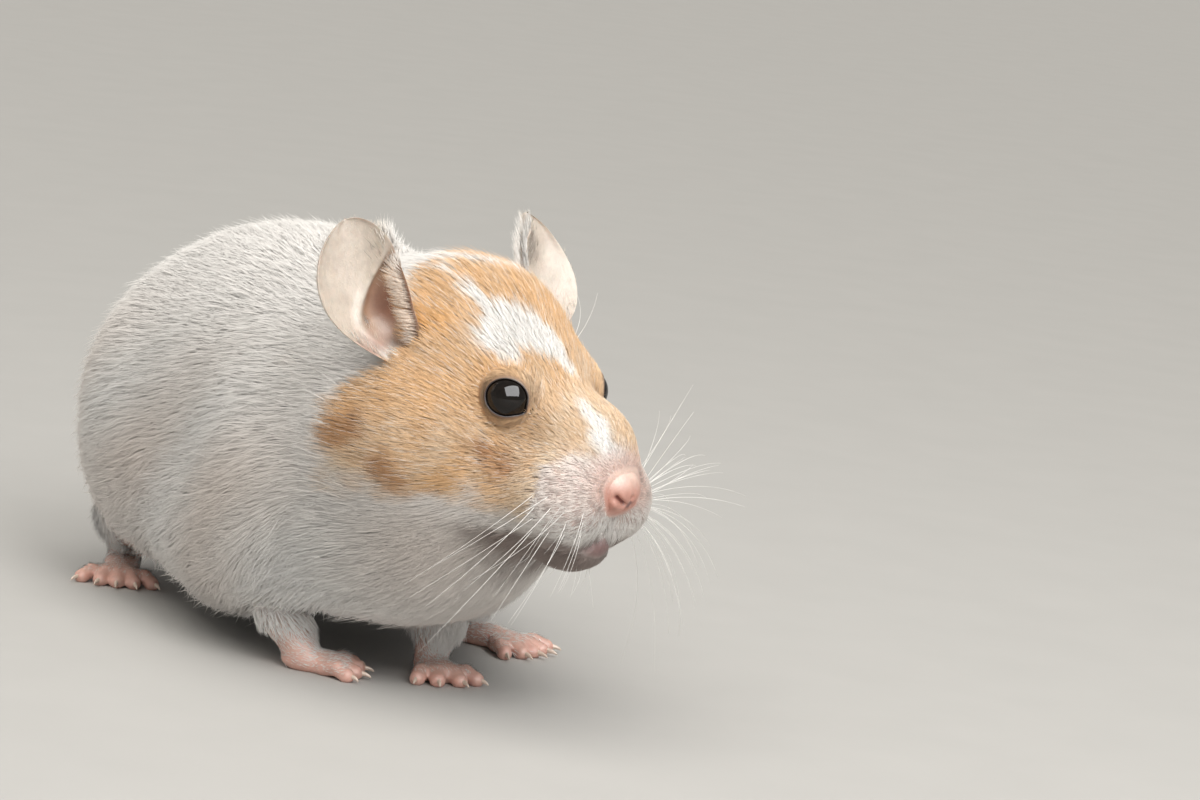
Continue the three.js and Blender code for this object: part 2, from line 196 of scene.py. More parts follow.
def wave_pull(points, wavelength, salt):
    """The slope of such a field as vectors of about length one, so that what follows it gathers in locks."""
    phase, ways = plane_waves(points, wavelength, salt)
    return np.cos(phase) @ ways / math.sqrt(WAVE_COUNT / 2)


# ---- The melted form ----


def both_sides(lobes):
    """The lobes, with a mirrored one for each that is off the middle line."""
    made = list(lobes)
    made += [((f, -s, u), size) for (f, s, u), size in lobes if s]
    return made


def melted(points, lobes, blend):
    """Near distance to many ellipsoids melted together, below zero inside.

    One ellipsoid's distance is k(k - 1) / m, with k the length of the point's offset divided by the
    half sizes, and m the same divided by them twice. The distances d melt into -b ln(sum exp(-d/b)).
    """
    total = 0
    for centre, size in lobes:
        away = (points - np.array(centre, float)) / np.array(size, float)
        reach = np.linalg.norm(away, axis=-1)
        steepness = np.linalg.norm(away / np.array(size, float), axis=-1)
        total = total + np.exp(-reach * (reach - 1) / np.maximum(steepness, 1e-9) / blend)
    return -blend * np.log(total)


TRUNK = list(TRUNK_LOBES.values())
HEAD = both_sides(HEAD_LOBES.values())


def coat_distance(points):
    """Near distance to the outer form of the coat of trunk, neck and head."""
    trunk = melted(points, TRUNK, TRUNK_BLEND)
    head = melted(to_head(points), HEAD, HEAD_BLEND)
    return -NECK_BLEND * np.log(np.exp(-trunk / NECK_BLEND) + np.exp(-head / NECK_BLEND))


def slope_of(distance, points, step=0.15):
    """Unit outward direction of a distance field, from differences along the three axes."""
    here = distance(points)
    along = [distance(points + step * axis) - here for axis in np.eye(3)]
    return unit(np.stack(along, -1))


def coat_depth(points):
    """Depth of the coat: full on the body, thinning over the face to almost none at the nose."""
    forward, _, up = np.moveaxis(to_head(points), -1, 0)
    face = fade(forward, -17, 0)
    muzzle = fade(forward, 8, 18)
    crown = 0.7 * fade(up, 6, 16) * (1 - muzzle)
    depth = mix(BODY_COAT, FACE_COAT + crown, face)
    return mix(depth, MUZZLE_COAT, muzzle)


# ---- Meshes ----

shift = np.array(sum(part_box("eye_right"), start=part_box("eye_right")[0] * 0)) / 2 / METRES
shift = shift - on_head(EYE_AT * [1, -1, 1])


def placed(name, data):
    """A new object in the scene."""
    obj = bpy.data.objects.new(name, data)
    bpy.context.scene.collection.objects.link(obj)
    return obj


def turned_to(obj, right, above, backward, place):
    """Sets an object at a place, with its axes along three directions."""
    matrix = np.eye(4)
    matrix[:3, :3] = np.stack([right, above, backward], axis=1)
    matrix[:3, 3] = (place + shift) * METRES
    obj.matrix_world = Matrix(matrix.tolist())


def put_mesh(name, points, faces):
    """A mesh object made of points in millimetres and faces that face outwards."""
    mesh = bpy.data.meshes.new(name)
    mesh.from_pydata((points + shift) * METRES, [], faces)
    mesh.validate()
    return placed(name, mesh)


def points_of(obj):
    """An object's vertices, in millimetres of the animal's frame."""
    flat = np.empty(len(obj.data.vertices) * 3, np.float32)
    obj.data.vertices.foreach_get("co", flat)
    return flat.reshape(-1, 3).astype(float) / METRES - shift


def closed_grid(rings, first_pole, last_pole):
    """Points and faces of a closed skin over rings of points [row, column], closed to a pole at each end."""
    rows, columns = rings.shape[:2]
    points = np.concatenate([rings.reshape(-1, 3), [first_pole, last_pole]])
    here = np.arange(rows * columns).reshape(rows, columns)
    beside = np.roll(here, -1, axis=1)
    quads = np.stack([here[:-1], beside[:-1], beside[1:], here[1:]], -1).reshape(-1, 4)
    start, end = rows * columns, rows * columns + 1
    first = np.stack([np.full(columns, start), beside[0], here[0]], -1)
    last = np.stack([np.full(columns, end), here[-1], beside[-1]], -1)
    return points, quads.tolist() + first.tolist() + last.tolist()


def carried(profile_size, path, crown, sides=16):
    """Rings of an oval carried along a path: half sizes (across, high) at each point, upright to crown."""
    along = unit(np.gradient(path, axis=0))
    side = unit(np.cross(along, crown))
    top = np.cross(side, along)
    angle = np.linspace(0, 2 * math.pi, sides, endpoint=False)[None, :, None]
    across, high = profile_size[:, 0, None, None], profile_size[:, 1, None, None]
    return (
        path[:, None]
        + side[:, None] * np.sin(angle) * across
        + top[:, None] * np.cos(angle) * high
    )


def field_mesh(name, distance, low, high, step):
    """The zero level of a distance field inside a box, as a closed mesh."""
    axes = [np.arange(a, b + step, step) for a, b in zip(low, high)]
    cells = np.stack(np.meshgrid(*axes, indexing="ij"), -1)
    grid = openvdb.FloatGrid(background=1.0)
    grid.copyFromArray(distance(cells).astype(np.float32))
    places, quads = grid.convertToQuads(0.0)
    return put_mesh(name, places.astype(float) * step + np.array(low), quads[:, ::-1].tolist())


def joined(name, objects):
    """One closed mesh that is the union of closed meshes."""
    whole = objects[0]
    for other in objects[1:]:
        union = whole.modifiers.new(other.name, "BOOLEAN")
        union.object = other
        union.operation = "UNION"
        union.solver = "MANIFOLD"
    bpy.context.view_layer.update()
    ready = whole.evaluated_get(bpy.context.evaluated_depsgraph_get())
    mesh = bpy.data.meshes.new_from_object(ready)
    mesh.name = name
    for other in objects:
        bpy.data.objects.remove(other)
    return placed(name, mesh)


def shade_smooth(obj):
    """Smooth shading over a whole mesh."""
    obj.data.polygons.foreach_set("use_smooth", np.ones(len(obj.data.polygons), bool))
    obj.data.update()


# ---- Trunk, neck and head ----

RAY_STEP = 0.7
LONGEST_RAY = 60
SPINE_STOPS = [
    (0, 56, 29),
    (0, 40, 32),
    (0.5, 20, 33.5),
    (2.5, 4, 36.5),
    *on_head([(-9, 0, -0.5), (0, 0, -0.5), (7, 0, -2.5), (12.5, 0, -5.5)]),
]
TURN_SHARES = (0.26, 0.84)  # of the spine, where the rings turn from the trunk's axis to the head's
FINE_FROM = 0.66  # share of the spine where the head's closer rings begin
COLUMNS = 184
RUMP_RINGS, TRUNK_RINGS, HEAD_RINGS, NOSE_RINGS = 20, 40, 72, 34


def reach(centres, directions, distance):
    """How far a form reaches from points inside it: steps out to the first crossing, then halvings."""
    near = np.zeros(centres.shape[:-1])
    far = near + RAY_STEP
    inside = np.ones(near.shape, bool)
    while inside.any() and far.max() < LONGEST_RAY:
        inside = inside & (distance(centres + directions * far[..., None]) < 0)
        near = np.where(inside, far, near)
        far = np.where(inside, far + RAY_STEP, far)
    for _ in range(11):
        middle = (near + far) / 2
        within = distance(centres + directions * middle[..., None]) < 0
        near, far = np.where(within, middle, near), np.where(within, far, middle)
    return near


def spine_rings():
    """Ring centres with their axes, and how far each ring's rays lean along the spine.

    The axes turn slowly from the trunk's to the head's, so that rings don't cross inside the bend. The
    rays fan out from the first and last point of the spine, so that both ends close evenly."""
    fine = np.linspace(FINE_FROM, 1, HEAD_RINGS)
    shares = np.concatenate([np.linspace(0, FINE_FROM, TRUNK_RINGS, endpoint=False), fine])
    path = smooth_path(SPINE_STOPS, shares)
    along = unit(mix(np.array([0, -1.0, 0]), HEAD_FORWARD, fade(shares, *TURN_SHARES)[:, None]))
    rump_lean = -np.linspace(1, 0, RUMP_RINGS, endpoint=False)[1:] * math.pi / 2
    nose_lean = np.linspace(0, 1, NOSE_RINGS)[1:-1] * math.pi / 2
    centres = np.concatenate([path[:1].repeat(len(rump_lean), 0), path, path[-1:].repeat(len(nose_lean), 0)])
    axes = np.concatenate([along[:1].repeat(len(rump_lean), 0), along, along[-1:].repeat(len(nose_lean), 0)])
    return centres, axes, np.concatenate([rump_lean, np.zeros(len(path)), nose_lean])


def ring_rays():
    """Centre and direction of every ray [ring, column]: column 0 points up, and they go round to the left."""
    centres, axes, leans = spine_rings()
    left = unit(np.cross(axes, UP))
    top = np.cross(left, axes)
    angle = np.linspace(0, 2 * math.pi, COLUMNS, endpoint=False)[None, :, None]
    round_ray = left[:, None] * np.sin(angle) + top[:, None] * np.cos(angle)
    lean = leans[:, None, None]
    rays = round_ray * np.cos(lean) + axes[:, None] * np.sin(lean)
    return centres[:, None].repeat(COLUMNS, 1), rays


# Hollows of the skin, in the head's frame. A groove is a line with a depth and a half width.
MOUTH = [(19.4, 0, -12.9), (17.6, 3.0, -14.1), (14.2, 5.4, -15.3), (11.5, 6.4, -15.9)]
MOUTH_DEPTH, MOUTH_WIDTH = 1.3, 0.65
LIP_SPLIT = [(22.4, 0, -8.4), (20.4, 0, -12.8)]
SPLIT_DEPTH, SPLIT_WIDTH = 0.6, 0.45
LOWER_LIP = ((16.2, 0, -14.9), (2.3, 2.7, 1.3))
SOCKET_RADIUS = 2.4  # smaller than the eyeball, so that skin meets it all round
EAR_WELL_AT = np.array([-6.5, 13.6, 9.5])
EAR_WELL_RADIUS = 2.6


def groove(local, stops, depth, width):
    """How much a groove along the stops, mirrored on the other side, takes off at each point."""
    near_side = mirrored(local)
    nearest = np.min([segment_distance(near_side, a, b) for a, b in zip(stops, stops[1:])], axis=0)
    return depth * np.exp(-((nearest / width) ** 2))


def skin_distance(points):
    """Near distance to the skin: the coat's form taken in by its depth, with sockets, mouth and lip."""
    local = to_head(points)
    distance = coat_distance(points) + coat_depth(points)
    lip = melted(local, [LOWER_LIP], 1.0)
    distance = -0.6 * np.log(np.exp(-distance / 0.6) + np.exp(-lip / 0.6))
    distance = distance + groove(local, MOUTH, MOUTH_DEPTH, MOUTH_WIDTH)
    distance = distance + groove(local, LIP_SPLIT, SPLIT_DEPTH, SPLIT_WIDTH)
    socket = np.linalg.norm(mirrored(local) - EYE_AT, axis=-1) - SOCKET_RADIUS
    well = np.linalg.norm(mirrored(local) - EAR_WELL_AT, axis=-1) - EAR_WELL_RADIUS
    return np.maximum(distance, np.maximum(-socket, -well))


def body_surface():
    """Skin of trunk, neck and head: every ray of the spine's rings carried out to the skin."""
    centres, rays = ring_rays()
    rings = centres + rays * reach(centres, rays, skin_distance)[..., None]
    ends = []
    for centre, axis in ((centres[0, 0], np.array([0, 1.0, 0])), (centres[-1, 0], HEAD_FORWARD)):
        ends.append(centre + axis * reach(centre, axis, skin_distance))
    return rings, ends


# ---- Eyes and lids ----

EYE_FACING = np.array([0.5, 0.86, 0.1])  # forward, outward and up
LID_OPENING = (2.75, 2.42)  # half width and half height of the opening between the lids
LID_CORNER = 0.3  # how far the front corner is drawn out
LID_CORNER_TURN = math.radians(-32)
LID_THICK = 0.24  # at the rim
LID_FLARE = 0.55  # over the eyeball where the lids run into the face
LID_CLIMB = 9  # places on the profile, up the inside and again down the outside
LID_FOOT = math.radians(104)  # how far down the eyeball the lids reach, from its outward pole


def eye_frame(side):
    """Middle of an eye, and its outward, forward and upward directions."""
    middle = on_head(EYE_AT * [1, side, 1])
    outward = unit(EYE_FACING * [1, side, 1] @ HEAD_AXES)
    front = tangent(HEAD_FORWARD, outward)
    return middle, outward, front, np.cross(front, outward) * side


def lid_outline(angle):
    """Radius of the opening at an angle from its front: an oval with one corner drawn out."""
    wide, high = LID_OPENING
    oval = wide * high / np.hypot(high * np.cos(angle), wide * np.sin(angle))
    turn = np.angle(np.exp(1j * (angle - LID_CORNER_TURN)))
    return np.minimum(oval + LID_CORNER * np.exp(-((turn / 0.28) ** 2)), EYE_RADIUS * 0.985)


def lid_rings(side):
    """Both lids of an eye [angle, place on the profile]: a profile carried round the opening.

    The profile climbs the eyeball's own surface to the rim, turns over it in a half round, and runs
    back down the outside, standing further off the eyeball as it nears the face."""
    middle, outward, front, high = eye_frame(side)
    angle = np.linspace(0, 2 * math.pi, 96, endpoint=False)[:, None]
    rim_lean = np.arcsin(lid_outline(angle) / EYE_RADIUS)
    climb = np.linspace(1, 0, LID_CLIMB)[None, :]
    bend = np.linspace(0, math.pi, 7)[None, 1:-1]
    inner_lean, inner_off = mix(rim_lean, LID_FOOT, climb), 0.03 + 0 * angle * climb
    over_lean = rim_lean - np.sin(bend) * LID_THICK * 0.5 / EYE_RADIUS
    over_off = 0.03 + LID_THICK * (1 - np.cos(bend)) / 2 + 0 * angle
    outer_lean = inner_lean[:, ::-1]
    outer_off = 0.03 + LID_THICK + (LID_FLARE - LID_THICK) * climb[:, ::-1] ** 1.6 + 0 * angle
    lean = np.concatenate([inner_lean, over_lean, outer_lean], 1)[..., None]
    radius = EYE_RADIUS + np.concatenate([inner_off, over_off, outer_off], 1)[..., None]
    ray = (front * np.cos(angle) + high * np.sin(angle))[:, None]
    return middle + radius * (outward * np.cos(lean) + ray * np.sin(lean))


def lid(side):
    """The closed mesh of both lids of an eye, which is a ring like a doughnut."""
    rings = lid_rings(side)
    rows, columns = rings.shape[:2]
    here = np.arange(rows * columns).reshape(rows, columns)
    beside, after = np.roll(here, -1, axis=1), np.roll(here, -1, axis=0)
    quads = np.stack([here, after, np.roll(after, -1, axis=1), beside], -1).reshape(-1, 4)
    return put_mesh("lid", rings.reshape(-1, 3), quads[:, ::-side].tolist())


def eyeball(side):
    """A round ball whose pole looks outwards."""
    middle, outward, front, high = eye_frame(side)
    rows, columns = 40, 56
    lean = np.linspace(0, math.pi, rows + 2)[1:-1][:, None, None]
    turn = side * np.linspace(0, 2 * math.pi, columns, endpoint=False)[None, :, None]
    ray = front * np.cos(turn) + high * np.sin(turn)
    ball = middle + EYE_RADIUS * (outward * np.cos(lean) + ray * np.sin(lean))
    points, faces = closed_grid(ball, middle + EYE_RADIUS * outward, middle - EYE_RADIUS * outward)
    eye = put_mesh("eyeball_left" if side > 0 else "eyeball_right", points, faces)
    shade_smooth(eye)
    return eye


# ---- Nose ----

NOSTRIL = ((0.80, 0.34, -0.60), (0.62, 0.74, -0.26))  # ends of the slit, as directions from the middle
NOSE_WING = (0.60, 0.66, -0.58)


def nose_pad():
    """The bare pad: an oval ball with comma-shaped nostrils, the wings beside them and a split below."""
    rows, columns = 64, 72
    lean = (np.linspace(0, 1, rows + 2)[1:-1] ** 1.25 * math.pi)[:, None, None]
    turn = np.linspace(0, 2 * math.pi, columns, endpoint=False)[None, :, None]
    facing = np.concatenate([
        np.cos(lean) + 0 * turn,
        np.sin(lean) * np.sin(turn),
        np.sin(lean) * np.cos(turn),
    ], axis=-1)
    slit = segment_distance(mirrored(facing), *NOSTRIL)
    wing = np.linalg.norm(mirrored(facing) - NOSE_WING, axis=-1)
    split = segment_distance(facing, (0.97, 0, -0.24), (0.45, 0, -0.9))
    crease = segment_distance(facing, (0.9, 0, 0.45), (0.99, 0, -0.1))
    size = (
        1
        - 0.34 * np.exp(-((slit / 0.15) ** 2))
        + 0.10 * np.exp(-((wing / 0.34) ** 2))
        - 0.15 * np.exp(-((split / 0.11) ** 2))
        - 0.03 * np.exp(-((crease / 0.12) ** 2))
    )
    pad = on_head(NOSE_AT + facing * size[..., None] * NOSE_SIZE)
    ends = on_head(NOSE_AT + np.array([[1, 0, 0], [-1, 0, 0]]) * NOSE_SIZE)
    return put_mesh("nose_pad", *closed_grid(pad, *ends))


# ---- Ears ----

EAR_BASE = np.array([-9, 12.8, 7])
EAR_TIP = np.array([-15, 20, 23.8])
EAR_HALF_WIDTH = 6.7
EAR_SWEEP = 1.6  # how far the middle of the ear bows outwards
EAR_OPENS = {1: 0.0, -1: math.radians(30)}  # from straight ahead out to its own side
EAR_WIDEST = 0.58
EAR_FRONT = 0.8  # width in front of its middle, as a share of the width behind it


def ear_frame(side):
    """Foot, height and the directions along, towards the front edge and out of the opening of an ear."""
    foot = on_head(EAR_BASE * [1, side, 1])
    rise = on_head(EAR_TIP * [1, side, 1]) - foot
    height = np.linalg.norm(rise)
    along = rise / height
    turn = EAR_OPENS[side]
    opening = tangent(HEAD_FORWARD * math.cos(turn) + HEAD_LEFT * side * math.sin(turn), along)
    return foot, height, along, -side * np.cross(along, opening), opening


def ear_width(t):
    """Half width of an ear at a share of its height: swelling to its widest, then a round end."""
    rising = 0.42 + 0.58 * np.sin(np.clip(t / EAR_WIDEST, 0, 1) * math.pi / 2)
    closing = np.sqrt(np.clip(1 - (np.clip(t - EAR_WIDEST, 0, None) / (1 - EAR_WIDEST)) ** 2, 0.0004, 1))
    return EAR_HALF_WIDTH * np.where(t < EAR_WIDEST, rising, closing)


def ear_reach(front):
    """How far across an ear a share of its width lies: less in front of its middle than behind it."""
    return front * np.where(front > 0, EAR_FRONT, 1)


def ear_fold(t):
    """Where the inner fold runs: the share across the ear, 1 at the front edge, at a share of the height."""
    return -0.5 + 1.5 * fade(t, 0.22, 0.86)


def ear_hollow(t, front):
    """1 in the deep pink hollow that lies in front of the fold, and 0 elsewhere."""
    return fade(front - ear_fold(t), -0.02, 0.25) * fade(t, 0.14, 0.3) * (1 - fade(t, 0.55, 0.86))


def ear_slope(t, front):
    """How steeply the cup rises towards the edges of an ear."""
    return 2 * (0.9 - 0.6 * t) * front / np.where(front > 0, EAR_FRONT, 1)


def ear_relief(t, front):
    """How far the inside stands forward of a flat sheet: a cup, a rolled rim, a fold and the hollow."""
    cup = (0.9 - 0.6 * t) * ear_width(t) * front**2
    ridge = 0.55 * np.exp(-(((front - ear_fold(t)) / 0.13) ** 2)) * (1 - fade(t, 0.7, 0.95))
    rim = 0.35 * np.exp(-(((1 - np.abs(front)) / 0.1) ** 2)) * fade(t, 0.1, 0.4)
    ripple = 0.16 * np.sin(t * 17 + front * 4) * np.exp(-(((front + 0.55) / 0.3) ** 2))
    return cup + ridge + rim + ripple - 1.1 * ear_hollow(t, front)


def ear(side):
    """A cupped sheet: rings whose first half is the inside and whose second half is the back."""
    foot, height, along, front_way, opening = ear_frame(side)
    rows, steps = 56, 36
    t = np.sin(np.linspace(0, 1, rows + 1)[:-1] * math.pi / 2)[:, None]
    across = np.sin(np.linspace(-1, 1, steps) * math.pi / 2)
    front = np.concatenate([across, across[::-1]])[None, :]
    sheet = np.concatenate([np.ones(steps), -np.ones(steps)])[None, :]
    edge = np.sqrt(np.clip(1 - front**2, 0, 1))
    half = mix(0.62, 0.26, fade(t, 0.0, 0.7)) * (0.42 + 0.58 * edge)
    relief = np.where(sheet > 0, ear_relief(t, front), ear_relief(t, front) * 0.9 - 0.1 * front**2)
    sweep = -EAR_SWEEP * np.sin(t * math.pi)
    points = (
        foot
        + along * (t * height)[..., None]
        + front_way * (ear_reach(front) * ear_width(t) + sweep)[..., None]
        + opening * (relief + sheet * half)[..., None]
    )
    tip = foot + along * (height + 0.1) + opening * float(ear_relief(np.array(1.0), np.array(0.0)))
    return points, [foot - along * 0.4, tip]


def ear_mesh(side):
    """An ear's closed mesh, wound so that it faces outwards on either side."""
    points, ends = ear(side)
    return put_mesh("ear", *closed_grid(points[:, :: -side], *ends))


def ear_places(points, side):
    """Where points lie on an ear: share of height, share across, and distance from its middle sheet."""
    foot, height, along, front_way, opening = ear_frame(side)
    away = points - foot
    t = away @ along / height
    across = (away @ front_way + EAR_SWEEP * np.sin(np.clip(t, 0, 1) * math.pi)) / ear_width(np.clip(t, 0, 1))
    front = across / np.where(across > 0, EAR_FRONT, 1)
    return t, front, away @ opening - ear_relief(np.clip(t, 0, 1), front)


# ---- Tail ----

TAIL_STOPS = [(0, 68, 23.5), (0.2, 74, 21.4), (0.6, 78, 19), (1, 80.8, 17.4)]


def tail_rings():
    """Path and rings of a short stub that tapers along a sagging path to a round end."""
    share = np.sin(np.linspace(0, 1, 22) * math.pi / 2)
    path = smooth_path(TAIL_STOPS, share)
    radius = mix(2.8, 1.15, share) * np.sqrt(np.clip(1 - share**8, 0.02, 1))
    return path, carried(np.stack([radius, radius], -1), path, UP)


def tail():
    """The tail's closed mesh."""
    path, rings = tail_rings()
    return put_mesh("tail", *closed_grid(rings, path[0], path[-1]))


# ---- Legs and feet ----

SOLE_DIP = 0.45  # how far the pads are pressed flat by the floor
LIMB_BLEND = 0.3
LIMB_STEP = 0.34

# Length, half width and height of a sole; the angles its toes fan out by, their length and radius.
FORE_FOOT = {
    "sole": 5.2, "half": 2.7, "high": 1.75,
    "toes": (-34, -12, 12, 35), "length": 4.4, "radius": 1.12,
}
HIND_FOOT = {
    "sole": 11.5, "half": 3.1, "high": 1.9,
    "toes": (-36, -15, 1, 17, 37), "length": 4.8, "radius": 1.08,
}

# Each leg's foot stands at its heel and points along its heading, and its shaft is (x, y, z, radius).
LEGS = {
    "foreleg_right": {
        "foot": FORE_FOOT, "heel": (-10.6, 3.4), "heading": 68,
        "shaft": [(-14, 11, 22, 6.4), (-14.4, 10, 13.5, 4.9), (-12.6, 6.6, 7, 3.3), (-10.2, 3.4, 2.4, 2.3)],
    },
    "foreleg_left": {
        "foot": FORE_FOOT, "heel": (8.6, 4.6), "heading": 4,
        "shaft": [(13.5, 9.5, 22, 6.4), (12, 9, 13.5, 4.8), (9.8, 6, 7, 3.3), (8.7, 4, 2.4, 2.3)],
    },
    "hindleg_right": {
        "foot": HIND_FOOT, "heel": (-20.8, 64.5), "heading": -18,
        "shaft": [(-21, 56, 19, 8), (-21.4, 60, 10, 4.2), (-21.3, 62.4, 5.5, 2.8), (-21.3, 62.8, 2.4, 2.3)],
    },
    "hindleg_left": {
        "foot": HIND_FOOT, "heel": (19.6, 29.4), "heading": 36,
        "shaft": [(19.5, 36, 19, 8), (20.5, 30, 10, 4.2), (21.2, 27.4, 5.5, 2.8), (21.6, 26.8, 2.4, 2.3)],
    },
}


def foot_axes(leg):
    """Axes of a foot: forwards, sideways and up."""
    facing = math.radians(leg["heading"])
    return np.array([
        [math.sin(facing), -math.cos(facing), 0],
        [math.cos(facing), math.sin(facing), 0],
        [0, 0, 1],
    ])


def foot_origin(leg):
    """The heel, lowered so that the pads meet the floor in flats."""
    return np.array([*leg["heel"], -SOLE_DIP])


def toe_places(foot, fan):
    """Base, knuckle, ball and claw end of a toe in its foot's frame, for the angle that it fans out by."""
    turn = math.radians(fan)
    reach = foot["length"] * math.cos(turn * 0.8)
    radius = foot["radius"]
    start = np.array([foot["sole"] - 0.9, foot["half"] * 0.78 * fan / 30, 0])
    way = np.array([math.cos(turn), math.sin(turn), 0])
    stops = [(-0.15, 1.35), (0.42, 1.75), (0.9, 1.12), (1.12, 1.2), (1.5, 0.75)]
    return [start + way * reach * share + UP * radius * height for share, height in stops]


def limb_distance(points, leg):
    """Near distance to one leg with its foot: rounded bars and ovals melted together, cut by the floor."""
    foot = leg["foot"]
    local = (points - foot_origin(leg)) @ foot_axes(leg).T
    sole, half, high, radius = foot["sole"], foot["half"], foot["high"], foot["radius"]
    ovals = [
        ((sole * 0.42, 0, high), (sole * 0.42 + 2.4, half * 0.86, high)),
        ((sole - 0.7, 0, high * 0.82), (2.3, half * 1.0, high * 0.82)),
    ]
    total = np.exp(-melted(local, ovals, LIMB_BLEND) / LIMB_BLEND)
    for fan in foot["toes"]:
        base, knuckle, ball = toe_places(foot, fan)[:3]
        total += np.exp(-segment_distance(local, base, knuckle, radius * 0.95, radius * 0.86) / LIMB_BLEND)
        total += np.exp(-segment_distance(local, knuckle, ball, radius * 0.8, radius) / LIMB_BLEND)
    shaft = np.array(leg["shaft"])
    for upper, lower in zip(shaft, shaft[1:]):
        bar = segment_distance(points, upper[:3], lower[:3], upper[3], lower[3])
        total += np.exp(-bar / LIMB_BLEND)
    return np.maximum(-LIMB_BLEND * np.log(total), -points[..., 2])


def limb(name, leg):
    """A leg's skin, from inside the body down to the toes."""
    toes = foot_origin(leg) + np.array([leg["foot"]["sole"] + leg["foot"]["length"], 0, 0]) @ foot_axes(leg)
    held = np.array([*[stop[:3] for stop in leg["shaft"]], toes])
    low, high = held.min(0) - 9.5, held.max(0) + 9.5
    low[2] = -1
    return field_mesh(name, lambda points: limb_distance(points, leg), low, high, LIMB_STEP)


def claws():
    """Every toe's claw: a thin cone carried forwards and down from the ball of the toe."""
    points, faces, count = [], [], 0
    for leg in LEGS.values():
        for fan in leg["foot"]["toes"]:
            ball, root, tip = toe_places(leg["foot"], fan)[2:]
            stops = [ball, root, mix(root, tip, 0.6) + UP * 0.12, mix(root, tip, 0.85)]
            path = smooth_path(stops, np.linspace(0.3, 1, 9))
            radius = 0.4 * np.sqrt(np.linspace(1, 0.02, 9))
            rings = carried(np.stack([radius * 0.8, radius], -1), path, UP, 8)
            rings = rings @ foot_axes(leg) + foot_origin(leg)
            ends = path[[0, -1]] @ foot_axes(leg) + foot_origin(leg)
            made, turned = closed_grid(rings, *ends)
            points.append(made)
            faces += [[count + corner for corner in face] for face in turned]
            count += len(made)
    piece = put_mesh("claws", np.concatenate(points), faces)
    shade_smooth(piece)
    return piece


# ---- Markings ----

WHITE = np.array([0.92, 0.895, 0.865])
ROSY_WHITE = np.array([0.87, 0.79, 0.73])
TAN = np.array([0.82, 0.52, 0.28])
PALE_TAN = np.array([0.87, 0.70, 0.52])
BROWN = np.array([0.45, 0.22, 0.10])
GOLD = np.array([0.84, 0.46, 0.17])
DARK = np.array([0.10, 0.08, 0.07])
ROSY = np.array([0.80, 0.63, 0.56])
NOSE_FUR = np.array([0.84, 0.60, 0.52])
# Dark brown of the chin's hair, made darker still as painted shade under the jaw.
CHIN_FUR_AND_SHADE = np.array([0.20, 0.14, 0.12])
PAD_SPECKS = np.array([0.36, 0.28, 0.25])

# Bars of colour in the head's frame: both ends, the half width at each, and how soft the edge is.
BLAZE = [
    ((-9, -6.7, 18.6), (0.5, -7.5, 15.2), 0.7, 1.3, 1.0),
    ((2.9, -6.4, 12.9), (6.3, -3.0, 12.4), 3.5, 3.3, 1.4),
    ((6.4, -3.0, 12.0), (10.9, 0.7, 7.4), 3.0, 0.6, 1.2),
    ((2.6, -8.8, 10.8), (5.4, -8.0, 9.8), 2.0, 1.8, 2.4),
    ((14.6, -3.0, 4.0), (18.2, -3.3, 1.4), 0.9, 1.7, 1.8),
    ((18.4, -3.4, 0.8), (21.2, -2.5, -3.4), 1.8, 1.8, 1.8),
]
RIGHT_SPOTS = [
    ((7.0, -11.4, -4.1), (8.4, -10.4, -5.6), 2.0, 1.9, 2.8),
    ((0.4, -14.6, -4.4), (4.4, -13.0, -3.6), 1.0, 1.0, 2.4),
    ((-12.8, -20.4, -4.4), (-9.4, -20.8, -3.2), 1.9, 1.9, 2.8),
    ((-4.2, -19.9, -7.2), (-2.6, -19.2, -8.9), 2.0, 1.8, 2.4),
]
GOLDEN = [((-7.6, -13.2, 12.0), (-3.2, -12.2, 12.0), 1.6, 1.4, 3.4)]
DARK_HAIRS = [
    ((-9.0, -14.6, 10.2), (-4.2, -14.6, 8.5), 0.35, 0.35, 1.0),
    ((-4.2, -14.6, 8.5), (0.2, -14.0, 5.6), 0.35, 0.2, 1.0),
    ((-8.4, -16.2, 6.8), (-8.0, -16.2, 6.3), 0.6, 0.6, 0.9),
]
EAR_WHITES = [
    ((-11.5, -3.4, 19.2), (-5.6, -1.4, 19.8), 1.3, 1.1, 1.4),
    ((-5.6, -1.4, 19.8), (-3.6, 4.0, 19.2), 1.1, 1.3, 1.4),
    ((-8, 14.5, 13), (-6, 15.5, 9), 2.6, 2.4, 1.8),
]
SHOULDER_SPOT = (-18, 0.9, 44)


def soft_bars(points, bars):
    """1 inside any of the bars and 0 outside, with soft edges."""
    inside = 0
    for start, end, start_radius, end_radius, soft in bars:
        distance = segment_distance(points, start, end, start_radius, end_radius)
        inside = np.maximum(inside, 1 - fade(distance, -soft / 2, soft / 2))
    return inside


def painted(tone, colour, share):
    """A colour laid over a tone where share is above 0."""
    return mix(tone, np.asarray(colour), np.asarray(share)[..., None])


def mask_edges(local):
    """Shares of the tan mask that its rear edge and its lower edge leave: 0 outside and 1 inside.

    The rear edge stands behind the cheek and slants forwards to the front of the ear. The lower edge runs
    level along the cheek and climbs steeply in front of the eye."""
    forward, _, up = np.moveaxis(local, -1, 0)
    rear = fade(forward + 14.4 - 6.2 * fade(up, -1, 8.5) + 3.5 * fade(up, 12, 18), -1.5, 1.5)
    low = fade(up + 10.4 - 8.5 * fade(forward, 12.0, 17.0), -2.0, 1.6)
    return rear, low


